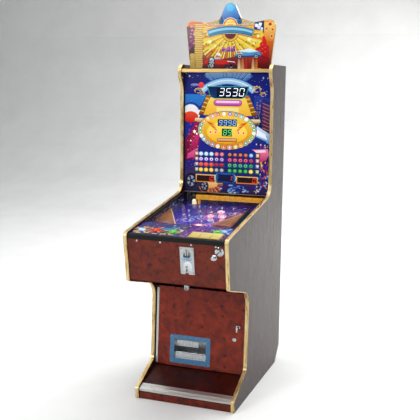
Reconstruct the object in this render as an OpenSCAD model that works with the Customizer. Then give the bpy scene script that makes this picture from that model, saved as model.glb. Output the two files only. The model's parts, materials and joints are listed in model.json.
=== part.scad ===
// Upright pachinko machine with a raked playfield, a lit head and a payout tray.
// Millimetres. X runs across the machine (player's right is +X), Y runs from
// the player to the back and Z is up. The origin is the middle of the flat
// bottom face, on the floor. "Toe" is the front edge of that face.

/* [Cabinet] */
// width over the two side panels
cab_w = 540; // [440:5:660]
// thickness of the side panels and of the other heavy boards
board_t = 18; // [12:1:25]
// thickness of the lighter panels
panel_t = 15; // [9:1:20]
// depth of the flat bottom face
base_depth = 770; // [620:5:900]
// distance from the toe to the back of the cabinet
cab_depth = 857; // [760:5:1000]
// height of the side panels
head_top = 1722; // [1400:5:2050]
// height of the tilt cut at the bottom rear corner
tail_cut_h = 85; // [0:5:120]
// how far the front panels sit behind the edges of the side panels
recess = 4; // [2:0.5:10]
// gap left round doors
door_gap = 2.5; // [1.5:0.5:5]

/* [Foot and door] */
// height of the front edge of the side panels at the toe
kick_h = 58; // [40:1:90]
// height of the ramp surface at its front edge
ramp_z = 53; // [35:1:85]
// angle of the footrest ramp
ramp_slope = 18; // [5:1:30]
// distance from the toe to the foot of the door opening
step_run = 198; // [120:1:260]
// height of the side panels at the foot of the door opening
step_rise = 152; // [110:1:220]
// backward lean of the lower door
door_lean = 3.4; // [0:0.1:8]
// length of the lower door
door_h = 428; // [330:1:520]
// width of the post beside the hinge
post_w = 16; // [10:1:30]

/* [Playfield box] */
// rake of the playfield
rake = 9; // [4:0.5:14]
// height of the top front corner of the box
nose_z = 898; // [780:1:1000]
// how far that corner stands out in front of the toe
nose_out = 136.5; // [60:0.5:200]
// height of the front face of the box, along its lean
box_h = 249; // [190:1:320]
// slope of the underside of the box
under_slope = 15.4; // [0:0.1:25]
// depth of the lockdown bar in front of the control panel, along the rake
bar_d = 20; // [14:1:45]
// height of the lockdown bar
bar_h = 22; // [16:1:36]
// length of the control panel, measured along the rake
apron_l = 184; // [140:1:230]
// depth of the playfield surface below the edges of the side panels
field_drop = 70.5; // [50:0.5:100]
// thickness of the playfield glass
glass_t = 4; // [3:0.5:6]

/* [Head] */
// distance from the toe to the front edge of the head
head_y = 606; // [480:1:700]
// how far the top of the head flares forward
flare = 40; // [0:1:80]
// height of the topper sign above the head's top board
topper_h = 358; // [200:1:450]
// width of the topper sign across its shoulders
topper_w = 528; // [380:2:640]
// width of the dome in the middle of the topper, at its base
dome_w = 124; // [90:1:150]
// thickness of the topper sign
topper_t = 10; // [5:1:20]

/* [Tray] */
// width and height of the opening in the tray frame
tray_w = 180; // [120:1:240]
tray_h = 103; // [70:1:140]
// width of the frame round the opening
tray_rim = 24; // [15:1:35]
// sideways place of the tray, from the middle of the machine
tray_x = -49; // [-90:1:0]
// height of the bottom of the opening above the foot of the door opening
tray_z = 17; // [5:1:60]
// depth of the bucket behind the door
bucket_d = 92; // [60:1:120]

/* [Coin entry and ball shooter] */
// width and height of the coin plate
coin_w = 71; // [55:1:100]
coin_h = 138; // [100:1:170]
// sideways place of the coin plate
coin_x = 58; // [0:1:120]
// sideways place of the ball shooter
shooter_x = 223; // [180:1:230]
// diameter of the ball
ball_d = 27; // [15:0.5:30]
// diameter of the shooter's knob
knob_d = 30; // [20:1:40]
// how far the shooter's knob can be pulled out
shooter_pull = 55; // [30:1:60]
// radial clearance of a shaft that runs in a hole
run_fit = 0.08; // [0.03:0.01:0.1]

/* [Buttons] */
// diameter of the large buttons' collars
collar_d = 38; // [28:1:45]
// diameter of the small button's collar
small_collar_d = 26; // [20:1:32]
// travel of the buttons
button_travel = 4; // [2:0.5:6]

/* [Hidden] */
$fn = 96;
arc_step = 6;
toe = -base_depth / 2;
back = toe + cab_depth;
in_w = cab_w - 2 * board_t;
half = in_w / 2;
// side outline, toe at [0, 0]: Y to the rear, Z up
nose = [-nose_out, nose_z];
chin = nose + box_h * [sin(rake), -cos(rake)];
knee_y = (chin.y + tan(under_slope) * chin.x - step_rise + step_run / tan(door_lean))
    / (1 / tan(door_lean) + tan(under_slope));
knee = [knee_y, chin.y - (knee_y - chin.x) * tan(under_slope)];
deck_l = (head_y + nose_out) / cos(rake);
nook = nose + deck_l * [cos(rake), sin(rake)];
OUTLINE = [
    [0, 0], [-4, kick_h], [step_run, step_rise], knee, chin, nose, nook,
    [head_y, head_top - 131], [head_y - flare, head_top - 59],
    [head_y - flare, head_top - 22], [head_y - flare + 26, head_top],
    [cab_depth, head_top], [cab_depth, tail_cut_h], [base_depth, 0]
];
RADII = [3, 14, 40, 95, 12, 20, 80, 100, 80, 14, 14, 2, 12, 12];
moulding_t = 2.2;
bead_t = 3.6;
barb_depth = 8;
barb_w = 1.8;
// playfield box, along the rake
face_y = recess;
bar_top = -5;
bar_t = 2.4;
glass_z = -12.5;
glass_y0 = bar_d + apron_l + 2;
cross_t = 16;
glass_y1 = deck_l - 4;
field_y0 = bar_d + apron_l - 30;
field_t = 12;
lane_w = 2 * (half - shooter_x);
lane_t = 8;
rod_z = -field_drop + ball_d / 2;
BOLTS = [-0.79 * half, -0.3 * half, 0.33 * half, 0.82 * half];
bolt_z = bar_top - bar_h - 7;
panel_top = -8;
// each button: place across and up the control panel, collar diameter
BUTTONS = [
    [-0.83 * half, 88, collar_d], [-0.54 * half, 95, collar_d], [-0.18 * half, 92, collar_d],
    [0.68 * half, 131, collar_d], [0.81 * half, 143, small_collar_d]
];
// coin entry
coin_mid = -117;
coin_slot_z = coin_mid + 40;
lever_z = coin_mid - 42;
spout_x = coin_x - 24;
spout_y = toe - 55;
spout_r = 11;
spout_s = (spout_y - toe - chin.x) / cos(under_slope);
spout_top = chin.y - (spout_y - toe - chin.x) * tan(under_slope) + 60;
// ball shooter
barrel_r = 11;
rod_r = 4;
sleeve_y = face_y + 46;
rod_tip = bar_d + apron_l - 34;
rod_collar = sleeve_y + 14 + shooter_pull;
knob_y = -77;
ball_y = rod_tip + 1 + ball_d / 2;
// playfield fittings
rail_x = half - lane_w - 4 - lane_t;
arch_x = 14;
arch_y = bar_d + apron_l + 78;
arch_r = 32;
arch_h = 34;
dome_r = 15;
guard_h = 26;
guard_y0 = bar_d + apron_l + 95;
guard_y1 = guard_y0 + 265;
pin_r = 1.6;
pin_h = 24;
pin_dx = 66;
pin_dy = 79;
pin_x0 = -42;
pin_y0 = bar_d + apron_l + 109;
function grid(i, k) = [pin_x0 + pin_dx * i - (k % 2) * pin_dx / 2, pin_y0 + k * pin_dy];
function is_bumper(i, k) = (k == 2 && (i == 1 || i == 2)) || (k == 3 && i == 2);
// left out where the arch or the right guard stands
function is_blocked(i, k) = (k == 0 && i != 0) || (k == 1 && i == 3);
PINS = [
    for (k = [0 : 4], i = [-1 : 3])
        let (p = grid(i, k))
        if (!is_bumper(i, k) && !is_blocked(i, k) && p.x > -120 - k * 12 && p.x < 130)
            p
];
bumper_shift = [-12, 0];
BUMPERS = [grid(1, 2) + bumper_shift, grid(2, 2) + bumper_shift, grid(2, 3) + bumper_shift];
// lower door
door_y = 6;
door_x0 = -half + post_w + 2.6;
door_x1 = half - door_gap;
door_z0 = -28;
axis_x = -half + post_w + 0.5;
axis_y = door_y - 1.5;
leaf_t = 1.6;
knuckle_r = 3.5;
hinge_pin_r = 1.5;
knuckles = 12;
leaf_z0 = door_z0 + 6;
leaf_h = door_h - 16;
knuckle_h = leaf_h / knuckles;
handle_x = half - 35;
handle_z = 222;
lock_x = half - 55;
lock_z = 155;
// tray in the door
bucket_t = 1.5;
bucket_lip = 30;
flap_axis = [door_y + 16, tray_z + tray_h - 8];
flap_h = 34;
frame_screw_x = tray_w / 2 + tray_rim - 9;
frame_screw_z = [tray_z - tray_rim + 4, tray_z + tray_h + tray_rim - 10];
// head
glass_head_y = toe + head_y + 14;
head_board_z = head_top - 23;
head_z0 = nook.y - 4;
window_w = 243;
window_h = 62;
topper_y = toe + head_y + 54;
rear_split = 600;
board_y = glass_head_y + 34;
ring_z = head_top - 360;
table_z = head_top - 539;
low_z = head_top - 631;
ring_n = 24;
ring_a = 156;
ring_b = 92;
LAMPS = concat(
    [
        for (i = [0 : ring_n - 1])
            [ring_a * cos(360 * i / ring_n), ring_z + ring_b * sin(360 * i / ring_n)]
    ],
    [
        for (s = [-1, 1], r = [0 : 3], c = [0 : 4])
            [s * 98 + (c - 2) * 29 + (s < 0 ? 12 : -12), table_z + (1.5 - r) * 27]
    ]
);
// token hopper
hopper_y = toe + step_run + 150;
hopper_w = 190;
hopper_d = 180;
hopper_h = 250;
disc_r = 66;

// ---- 2-D helpers ----

function unit(v) = v / norm(v);
function turn(p, q, r) = cross(q - p, r - q);
function left_normal(p, q) = let (d = unit(q - p)) [-d.y, d.x];

// corners of a closed outline moved outwards by g (the outline runs clockwise)
function grown(pts, g) = [
    for (i = [0 : len(pts) - 1])
        let (
            n1 = left_normal(pts[(i + len(pts) - 1) % len(pts)], pts[i]),
            n2 = left_normal(pts[i], pts[(i + 1) % len(pts)])
        )
        pts[i] + g * (n1 + n2) / (1 + n1 * n2)
];

// points of the arc that rounds a corner between its two neighbours
function corner_arc(before, corner, after, radius) =
    radius <= 0
        ? [corner]
        : let (
            u = unit(before - corner),
            v = unit(after - corner),
            half_angle = acos(u * v) / 2,
            reach = radius / tan(half_angle),
            centre = corner + unit(u + v) * radius / sin(half_angle),
            sweep = 180 - 2 * half_angle,
            n = ceil(sweep / arc_step),
            from = corner + u * reach - centre,
            to = corner + v * reach - centre
        )
        [
            for (k = [0 : n])
                centre + (sin(sweep - sweep * k / n) * from + sin(sweep * k / n) * to) / sin(sweep)
        ];

// closed outline with a rounding at each corner
module rounded(pts, radii) {
    n = len(pts);
    polygon([
        for (i = [0 : n - 1])
            each corner_arc(pts[(i + n - 1) % n], pts[i], pts[(i + 1) % n], radii[i])
    ]);
}

function is_hollow(pts, i) =
    turn(pts[(i + len(pts) - 1) % len(pts)], pts[i], pts[(i + 1) % len(pts)]) > 0;

// side outline moved outwards by g
module side_outline(g = 0) {
    radii = [
        for (i = [0 : len(RADII) - 1])
            max(0, RADII[i] + (is_hollow(OUTLINE, i) ? -g : g))
    ];
    rounded(grown(OUTLINE, g), radii);
}

// band between two offsets of the side outline, on the edges that carry moulding
module edge_band(g0, g1) {
    difference() {
        side_outline(g1);
        side_outline(g0);
        translate([-400, -60])
            square([cab_depth + 800, 60]);
        translate([head_y + 14, -60])
            square([cab_depth, head_top + 120]);
    }
}

module rounded_rect(w, h, r) {
    rounded([[-w, -h] / 2, [-w, h] / 2, [w, h] / 2, [w, -h] / 2], [r, r, r, r]);
}

// ---- frames ----

// draws a Y-Z outline as a slab of thickness t that starts at x
module slab(x, t) {
    translate([x, 0, 0])
        rotate([90, 0, 90])
            linear_extrude(t)
                translate([toe, 0])
                    children();
}

// playfield box: Y up the rake from the front face, Z square to the glass
module on_deck() {
    translate([0, toe - nose_out, nose_z])
        rotate([rake, 0, 0])
            children();
}

// lower door: Z up the door, Y into the cabinet
module on_door() {
    translate([0, toe + step_run, step_rise])
        rotate([-door_lean, 0, 0])
            children();
}

// underside of the box: Y down the underside towards the rear
module on_underside() {
    translate([0, toe + chin.x, chin.y])
        rotate([-under_slope, 0, 0])
            children();
}

// footrest ramp: Y up the ramp
module on_ramp() {
    translate([0, toe + 2, ramp_z])
        rotate([ramp_slope, 0, 0])
            children();
}

// a plate in X-Z whose front is at y; drawn from a 2-D outline in X and Z
module plate(y, t) {
    translate([0, y + t, 0])
        rotate([90, 0, 0])
            linear_extrude(t)
                children();
}

// block from one corner to the opposite one
module block(a, b) {
    translate(a)
        cube(b - a);
}

// cylinder that runs rearwards from y0 to y1
module rod_y(x, z, y0, y1, r) {
    translate([x, y0, z])
        rotate([-90, 0, 0])
            cylinder(h = y1 - y0, r = r);
}

// cylinder that runs sideways from x0 to x1
module rod_x(x0, x1, y, z, r) {
    translate([x0, y, z])
        rotate([0, 90, 0])
            cylinder(h = x1 - x0, r = r);
}

// ---- cabinet ----

module side_panel(x) {
    difference() {
        slab(x, board_t)
            side_outline();
        slab(x + board_t / 2 - barb_w / 2, barb_w)
            edge_band(-barb_depth - 1, 1);
    }
}

module left_side_panel() {
    color("#3a2420")
        side_panel(-cab_w / 2);
}

module right_side_panel() {
    color("#3a2420")
        side_panel(half);
}

module moulding(x) {
    slab(x, board_t)
        edge_band(0, moulding_t);
    slab(x + board_t * 0.22, board_t * 0.56)
        edge_band(moulding_t - 0.1, bead_t);
    slab(x + board_t / 2 - barb_w / 2, barb_w)
        edge_band(-barb_depth, 0.1);
}

module left_moulding() {
    color("#d9bc84")
        moulding(-cab_w / 2);
}

module right_moulding() {
    color("#d9bc84")
        moulding(half);
}

module base_panel() {
    color("#3b2a22")
        block([-half, toe + recess + panel_t, 0], [half, toe + base_depth - 12, board_t]);
}

module kick_panel() {
    color("#6b2418")
        block([-half, toe + recess, 0], [half, toe + recess + panel_t, ramp_z - 16]);
}

module footrest_panel() {
    ramp_l = (step_run + door_y - 3) / cos(ramp_slope);
    color("#4a1a14")
        on_ramp()
            difference() {
                block([-half, 0, -panel_t], [half, ramp_l, 0]);
                for (sx = [-1, 1])
                    translate([sx * (half - 63), 26, -panel_t - 1])
                        cylinder(h = panel_t + 2, r = 2);
            }
}

module footrest_strip() {
    strip_l = 46;
    color("#c9c9c4")
        on_ramp()
            difference() {
                union() {
                    block([-half + 1, -2, 0], [half - 1, strip_l, 2]);
                    block([-half + 1, -2, -12], [half - 1, 0, 0.5]);
                    for (i = [0 : 5])
                        block([-half + 1, 3 + i * 3.4, 1.9], [half - 1, 4.6 + i * 3.4, 2.6]);
                }
                for (sx = [-1, 1])
                    translate([sx * (half - 63), 26, -1])
                        cylinder(h = 5, r = 2.6);
            }
}

module door_posts() {
    color("#2a1c18")
        on_door() {
            block([-half, door_y + 2, door_z0 + 3], [-half + post_w, door_y + 40, door_z0 + door_h]);
            block(
                [half - 24, door_y + board_t + 0.5, door_z0 + 3],
                [half, door_y + board_t + 19, door_z0 + door_h]
            );
        }
}

// knuckles whose number has the given remainder when halved
module hinge_knuckles(odd) {
    for (i = [0 : knuckles - 1])
        if (i % 2 == odd)
            translate([axis_x, axis_y, leaf_z0 + i * knuckle_h + 0.2])
                cylinder(h = knuckle_h - 0.4, r = knuckle_r);
}

module hinge_fixed_leaf() {
    color("#cfcfca")
        on_door() {
            hinge_knuckles(0);
            translate([axis_x, axis_y, leaf_z0])
                cylinder(h = leaf_h, r = hinge_pin_r);
            block(
                [-half + 7, door_y + 2 - leaf_t, leaf_z0],
                [axis_x - knuckle_r - 0.4, door_y + 2, leaf_z0 + leaf_h]
            );
            for (i = [0 : 2 : knuckles - 1])
                block(
                    [axis_x - knuckle_r - 1, door_y + 2 - leaf_t, leaf_z0 + i * knuckle_h + 0.2],
                    [axis_x - 1.8, door_y + 2, leaf_z0 + (i + 1) * knuckle_h - 0.2]
                );
        }
}

module hinge_door_leaf() {
    color("#cfcfca")
        on_door()
            difference() {
                union() {
                    hinge_knuckles(1);
                    block(
                        [door_x0 - leaf_t, axis_y + knuckle_r + 0.3, leaf_z0],
                        [door_x0, door_y + board_t - 1, leaf_z0 + leaf_h]
                    );
                    for (i = [1 : 2 : knuckles - 1])
                        block(
                            [door_x0 - leaf_t, axis_y + 1.8, leaf_z0 + i * knuckle_h + 0.2],
                            [door_x0, axis_y + knuckle_r + 1, leaf_z0 + (i + 1) * knuckle_h - 0.2]
                        );
                }
                translate([axis_x, axis_y, leaf_z0 - 1])
                    cylinder(h = leaf_h + 2, r = hinge_pin_r + run_fit);
            }
}

// ---- lower door ----

module door_panel() {
    cut_w = tray_w + 8;
    cut_h = tray_h + 8;
    color("#7a2414")
        on_door()
            difference() {
                block([door_x0, door_y, door_z0], [door_x1, door_y + board_t, door_z0 + door_h]);
                translate([axis_x, axis_y, door_z0 - 1])
                    cylinder(h = door_h + 2, r = knuckle_r + 0.3);
                translate([tray_x - cut_w / 2, door_y - 1, tray_z - 4])
                    cube([cut_w, board_t + 2, cut_h]);
                rod_y(handle_x, handle_z, door_y - 1, door_y + board_t + 1, 6 + run_fit);
                rod_y(lock_x, lock_z, door_y - 1, door_y + board_t + 1, 9.5 + run_fit);
            }
}

module door_handle() {
    color("#d0d0cc")
        on_door() {
            rod_y(handle_x, handle_z, door_y - 28, door_y + board_t + 24, 6);
            rod_y(handle_x, handle_z, door_y - 3, door_y - 0.4, 9);
            block([handle_x - 4, door_y - 34, handle_z - 20], [handle_x + 4, door_y - 27, handle_z + 20]);
            block(
                [handle_x - 6, door_y + board_t + 20.5, handle_z],
                [handle_x + 6, door_y + board_t + 23.5, handle_z + 26]
            );
        }
}

module door_lock() {
    color("#d0d0cc")
        on_door()
            difference() {
                union() {
                    rod_y(lock_x, lock_z, door_y - 6, door_y - 0.4, 11.5);
                    rod_y(lock_x, lock_z, door_y - 1, door_y + board_t + 24, 9.5);
                    block(
                        [lock_x - 7, door_y + board_t + 20.5, lock_z],
                        [lock_x + 7, door_y + board_t + 23.5, lock_z + 42]
                    );
                }
                block([lock_x - 1, door_y - 8, lock_z - 4], [lock_x + 1, door_y - 3, lock_z + 4]);
            }
}

module tray_frame() {
    color("#35719a")
        on_door()
            difference() {
                plate(door_y - 2, 2)
                    translate([tray_x, tray_z + tray_h / 2 - 3])
                        difference() {
                            rounded_rect(tray_w + 2 * tray_rim, tray_h + 2 * tray_rim + 4, 6);
                            translate([0, 3])
                                square([tray_w, tray_h], center = true);
                        }
                for (sx = [-1, 1], z = frame_screw_z)
                    rod_y(tray_x + sx * frame_screw_x, z, door_y - 3, door_y + 1, 2.2);
            }
}

module tray_bucket() {
    w = tray_w + 7;
    z0 = tray_z - 3.5;
    color("#9a9c9c")
        on_door() {
            difference() {
                block(
                    [tray_x - w / 2, door_y + 0.2, z0],
                    [tray_x + w / 2, door_y + bucket_d, z0 + tray_h + 6.5]
                );
                block(
                    [tray_x - w / 2 + bucket_t, door_y - 1, z0 + bucket_t],
                    [tray_x + w / 2 - bucket_t, door_y + bucket_d - bucket_t, z0 + tray_h + 6.5 - bucket_t]
                );
                block(
                    [tray_x - w / 2 + bucket_t, door_y + 45, z0 + tray_h - 12],
                    [tray_x + w / 2 - bucket_t, door_y + bucket_d + 1, z0 + tray_h + 12]
                );
                for (sx = [-1, 1])
                    translate([tray_x + sx * w / 2, 0, 0])
                        rod_x(-3, 3, flap_axis.x, flap_axis.y, 2 + run_fit);
            }
            block(
                [tray_x - w / 2 + 0.5, door_y + 10, z0 + 0.5],
                [tray_x + w / 2 - 0.5, door_y + 10 + bucket_t, z0 + bucket_lip]
            );
        }
}

module tray_flap() {
    w = tray_w + 7 - 2 * bucket_t - 2;
    color("#a8aaaa")
        on_door() {
            rod_x(tray_x - w / 2 - 2.4, tray_x + w / 2 + 2.4, flap_axis.x, flap_axis.y, 2);
            translate([tray_x, flap_axis.x, flap_axis.y])
                rotate([door_lean, 0, 0])
                    block([-w / 2, -0.8, -flap_h], [w / 2, 0.8, 0]);
        }
}

// ---- playfield box ----

module front_panel() {
    color("#6b2418")
        on_deck()
            difference() {
                block([-half, face_y, -box_h + 7], [half, face_y + panel_t, bar_top - bar_h - 0.5]);
                translate([coin_x - coin_w / 2 + 9, face_y - 1, coin_mid - coin_h / 2 + 9])
                    cube([coin_w - 18, panel_t + 2, coin_h - 18]);
                rod_y(shooter_x, rod_z, face_y - 1, face_y + panel_t + 1, 11.2);
                for (x = BOLTS)
                    rod_y(x, bolt_z, face_y - 1, face_y + panel_t + 1, 3);
            }
}

module box_bottom_panel() {
    color("#6b2418")
        on_underside()
            difference() {
                block([-half, 14.8, recess], [half, norm(knee - chin) + 22, recess + 12]);
                block([spout_x - spout_r - 1, spout_s - 14, 0], [spout_x + spout_r + 1, spout_s + 14, 40]);
            }
}

module lockdown_bar() {
    color("#1f2322")
        on_deck()
            difference() {
                block([-half + 0.5, 0, bar_top - bar_h], [half - 0.5, bar_d, bar_top]);
                block(
                    [-half - 1, face_y - 1 + bar_t, bar_top - bar_h - 1],
                    [half + 1, bar_d - bar_t, bar_top - bar_t]
                );
                translate([0, 0, bar_top])
                    rotate([45, 0, 0])
                        cube([cab_w, 4, 4], center = true);
            }
}

module bar_bolts() {
    color("#d8d8d4")
        on_deck()
            for (x = BOLTS) {
                rod_y(x, bolt_z, face_y - 3, face_y, 4.5);
                rod_y(x, bolt_z, face_y - 0.5, face_y + panel_t + 8, 2.9);
            }
}

module control_panel() {
    color("#4b3a86")
        on_deck()
            difference() {
                block([-half + 0.5, bar_d + 0.5, panel_top - 12], [half - 0.5, bar_d + apron_l, panel_top]);
                for (b = BUTTONS)
                    translate([b.x, b.y, panel_top - 13])
                        cylinder(h = 14, r = b.z / 2 - 4);
            }
}

module button_bodies() {
    color("#20242c")
        on_deck()
            for (b = BUTTONS)
                translate([b.x, b.y, panel_top])
                    difference() {
                        union() {
                            cylinder(h = 3.5, r = b.z / 2);
                            translate([0, 0, -30])
                                cylinder(h = 31, r = b.z / 2 - 4.1);
                        }
                        translate([0, 0, -24])
                            cylinder(h = 40, r = b.z / 2 - 6);
                    }
}

// moving cap of button number i
module button_cap(i) {
    b = BUTTONS[i];
    r = b.z / 2 - 6 - 0.3;
    on_deck()
        translate([b.x, b.y, panel_top]) {
            translate([0, 0, -12])
                cylinder(h = 12 + 5, r = r);
            translate([0, 0, 5])
                intersection() {
                    translate([0, 0, 4 - r * 1.6])
                        sphere(r * 1.6);
                    cylinder(h = 6, r = r);
                }
        }
}

module blue_button() {
    color("#3f8fe0")
        button_cap(0);
}

module red_button() {
    color("#d8311c")
        button_cap(1);
}

module green_button() {
    color("#3fae3a")
        button_cap(2);
}

module start_button() {
    color("#4fb83a")
        button_cap(3);
}

module small_button() {
    color("#2f6fd0")
        button_cap(4);
}

module coin_plate() {
    color("#c4c7ca")
        on_deck()
            difference() {
                union() {
                    plate(face_y - 2, 2)
                        translate([coin_x, coin_mid])
                            rounded_rect(coin_w, coin_h, 4);
                    for (sx = [-1, 1])
                        translate([coin_x + sx * 6, 0, coin_slot_z])
                            block([-2, face_y - 6, -14], [2, face_y - 1, 14]);
                }
                block(
                    [coin_x - 1.6, face_y - 8, coin_slot_z - 15],
                    [coin_x + 1.6, face_y + 1, coin_slot_z + 15]
                );
                block([coin_x - 7, face_y - 3, lever_z - 17], [coin_x - 1, face_y + 1, lever_z + 17]);
                block(
                    [coin_x - 12, face_y - 3, coin_mid - coin_h / 2 - 1],
                    [coin_x + 6, face_y + 1, coin_mid - coin_h / 2 + 7]
                );
            }
}

module coin_mech() {
    color("#23262a")
        on_deck()
            difference() {
                block(
                    [coin_x - coin_w / 2 + 11, face_y + 0.5, coin_mid - coin_h / 2 + 11],
                    [coin_x + coin_w / 2 - 11, face_y + 70, coin_mid + coin_h / 2 - 11]
                );
                block(
                    [coin_x - 1.6, face_y - 1, coin_slot_z - 16],
                    [coin_x + 1.6, face_y + 60, coin_slot_z + 16]
                );
                block([coin_x - 8, face_y - 1, lever_z - 14], [coin_x, face_y + 14, lever_z + 18]);
            }
}

module coin_lever() {
    color("#e2e2e0")
        on_deck() {
            block([coin_x - 6.5, face_y - 11, lever_z + 5], [coin_x - 1.5, face_y + 10, lever_z + 12]);
            block([coin_x - 7.6, face_y + 3, lever_z + 3], [coin_x - 0.4, face_y + 12, lever_z + 14]);
            rod_y(coin_x - 4, lever_z + 8.5, face_y - 15, face_y - 10, 6);
        }
}

// upright chute that hangs through the underside of the box, open at the front foot
module coin_return_chute() {
    foot_z = chin.y - 31;
    color("#cfd0cc")
        difference() {
            union() {
                block(
                    [spout_x - spout_r, spout_y - 7, foot_z + spout_r],
                    [spout_x + spout_r, spout_y + 7, spout_top]
                );
                rod_y(spout_x, foot_z + spout_r, spout_y - 7, spout_y + 7, spout_r);
                on_underside()
                    block(
                        [spout_x - spout_r - 5, spout_s - 17, recess + 12],
                        [spout_x + spout_r + 5, spout_s + 22, recess + 14]
                    );
            }
            block(
                [spout_x - spout_r + 2, spout_y - 5, foot_z + spout_r],
                [spout_x + spout_r - 2, spout_y + 5, spout_top + 5]
            );
            rod_y(spout_x, foot_z + spout_r, spout_y - 9, spout_y + 5, spout_r - 2);
            block(
                [spout_x - spout_r + 2, spout_y - 9, foot_z + spout_r],
                [spout_x + spout_r - 2, spout_y, foot_z + spout_r + 3]
            );
        }
}

module shooter_housing() {
    color("#b9bcbe")
        on_deck()
            difference() {
                union() {
                    rod_y(shooter_x, rod_z, face_y - 4, face_y, 22.5);
                    rod_y(shooter_x, rod_z, face_y - 16, face_y - 3, 12);
                    rod_y(shooter_x, rod_z, face_y - 1, sleeve_y + 4, barrel_r);
                }
                rod_y(shooter_x, rod_z, face_y - 20, sleeve_y + 10, rod_r + run_fit);
                rod_y(shooter_x, rod_z, face_y + 2, sleeve_y + 10, barrel_r - 2);
            }
}

module shooter_rod() {
    color("#d4d6d8")
        on_deck() {
            rod_y(shooter_x, rod_z, knob_y, rod_tip, rod_r);
            rod_y(shooter_x, rod_z, rod_collar, rod_collar + 4, 7);
            rod_y(shooter_x, rod_z, rod_tip - 8, rod_tip, 6);
            translate([shooter_x, knob_y, rod_z])
                sphere(knob_d / 2);
            rod_y(shooter_x, rod_z, knob_y, knob_y + knob_d / 2 + 4, 7);
        }
}

// coil of rings joined by short bars, round the rod behind the housing
module shooter_spring() {
    n = 9;
    y0 = sleeve_y + 5;
    pitch = (rod_collar - 1 - y0 - 1.6) / (n - 1);
    color("#9da0a2")
        on_deck() {
            for (i = [0 : n - 1])
                translate([shooter_x, y0 + 0.8 + i * pitch, rod_z])
                    rotate([90, 0, 0])
                        rotate_extrude()
                            translate([6.4, 0])
                                circle(0.8);
            for (i = [0 : n - 2])
                rod_y(
                    shooter_x + (i % 2 == 0 ? 6.4 : -6.4), rod_z,
                    y0 + 0.8 + i * pitch, y0 + 0.8 + (i + 1) * pitch, 0.8
                );
        }
}

module ball() {
    color("#e6e6e6")
        on_deck()
            translate([shooter_x, ball_y, rod_z + 0.2])
                sphere(ball_d / 2);
}

module playfield() {
    color("#4a3fa8")
        on_deck()
            difference() {
                block([-half + 0.5, field_y0, -field_drop - field_t], [half - 0.5, deck_l + 20, -field_drop]);
                for (p = PINS)
                    translate([p.x, p.y, -field_drop - field_t - 1])
                        cylinder(h = field_t + 2, r = pin_r);
            }
}

module playfield_pins() {
    color("#f2f2f2")
        on_deck()
            for (p = PINS)
                translate([p.x, p.y, -field_drop]) {
                    translate([0, 0, -field_t])
                        cylinder(h = field_t + pin_h - 2, r = pin_r);
                    translate([0, 0, 0.1])
                        cylinder(h = 3, r = 4);
                    translate([0, 0, pin_h - 4])
                        sphere(4.5);
                }
}

module bumpers() {
    color("#ff6fa8")
        on_deck()
            for (p = BUMPERS)
                translate([p.x, p.y, -field_drop]) {
                    cylinder(h = 24, r = 12);
                    cylinder(h = 3, r = 18);
                    translate([0, 0, 22])
                        cylinder(h = 3, r = 21);
                    translate([0, 0, 25])
                        intersection() {
                            translate([0, 0, -36])
                                sphere(42);
                            cylinder(h = 10, r = 21);
                        }
                }
}

// triangle against one wall: s is -1 for the left, +1 for the right
module guard(wall_x, s) {
    difference() {
        linear_extrude(guard_h)
            rounded(
                s < 0
                    ? [[wall_x, guard_y0 + 20], [wall_x, guard_y1], [wall_x + 138, guard_y0]]
                    : [[wall_x, guard_y1], [wall_x, guard_y0 + 20], [wall_x - 116, guard_y0 + 46]],
                [3, 8, 8]
            );
        translate([0, 0, -1])
            linear_extrude(guard_h - 2)
                rounded(
                    s < 0
                        ? [
                            [wall_x + 4, guard_y0 + 26],
                            [wall_x + 4, guard_y1 - 34],
                            [wall_x + 118, guard_y0 + 8]
                        ]
                        : [
                            [wall_x - 4, guard_y1 - 40],
                            [wall_x - 4, guard_y0 + 32],
                            [wall_x - 96, guard_y0 + 50]
                        ],
                    [2, 3, 3]
                );
    }
}

module playfield_guards() {
    color("#b0662c")
        on_deck()
            translate([0, 0, -field_drop]) {
                guard(-half + 1, -1);
                guard(rail_x - 0.5, 1);
            }
}

// half-round lamp cover, hollow below, and the small dome beside it
module red_arch() {
    wall = 3;
    color("#d0202a")
        on_deck()
            translate([arch_x, arch_y, -field_drop]) {
                difference() {
                    union() {
                        intersection() {
                            cylinder(h = arch_h, r = arch_r);
                            block([-arch_r, 0, 0], [arch_r, arch_r, arch_h]);
                        }
                        block([-arch_r, -16, 0], [arch_r, 1, arch_h]);
                    }
                    intersection() {
                        translate([0, 0, -1])
                            cylinder(h = arch_h + 1 - wall, r = arch_r - wall);
                        block([-arch_r, 0, -1], [arch_r, arch_r, arch_h - wall]);
                    }
                    block([wall - arch_r, -20, -1], [arch_r - wall, 1, arch_h - wall]);
                }
                translate([arch_r + dome_r + 1, 8, 0]) {
                    cylinder(h = 10, r = dome_r);
                    translate([0, 0, 10])
                        intersection() {
                            sphere(dome_r);
                            cylinder(h = dome_r, r = dome_r);
                        }
                }
            }
}

module cross_bar() {
    color("#e0a818")
        on_deck() {
            block([-0.66 * half, deck_l - cross_t - 6, -42], [half - 1, deck_l - 6, glass_z - 6]);
            for (x = [-0.6 * half, half - 12])
                block([x - 6, deck_l - cross_t - 4, -field_drop], [x + 6, deck_l - 8, -41]);
        }
}

module lane_rail() {
    color("#8a5a34")
        on_deck()
            block([rail_x, field_y0 + 4, -field_drop], [rail_x + lane_t, guard_y1 + 60, -field_drop + 34]);
}

module playfield_glass() {
    color("#cfe6ea", 0.35)
        on_deck()
            block([-half + 3, glass_y0, glass_z], [half - 3, glass_y1, glass_z + glass_t]);
}

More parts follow.
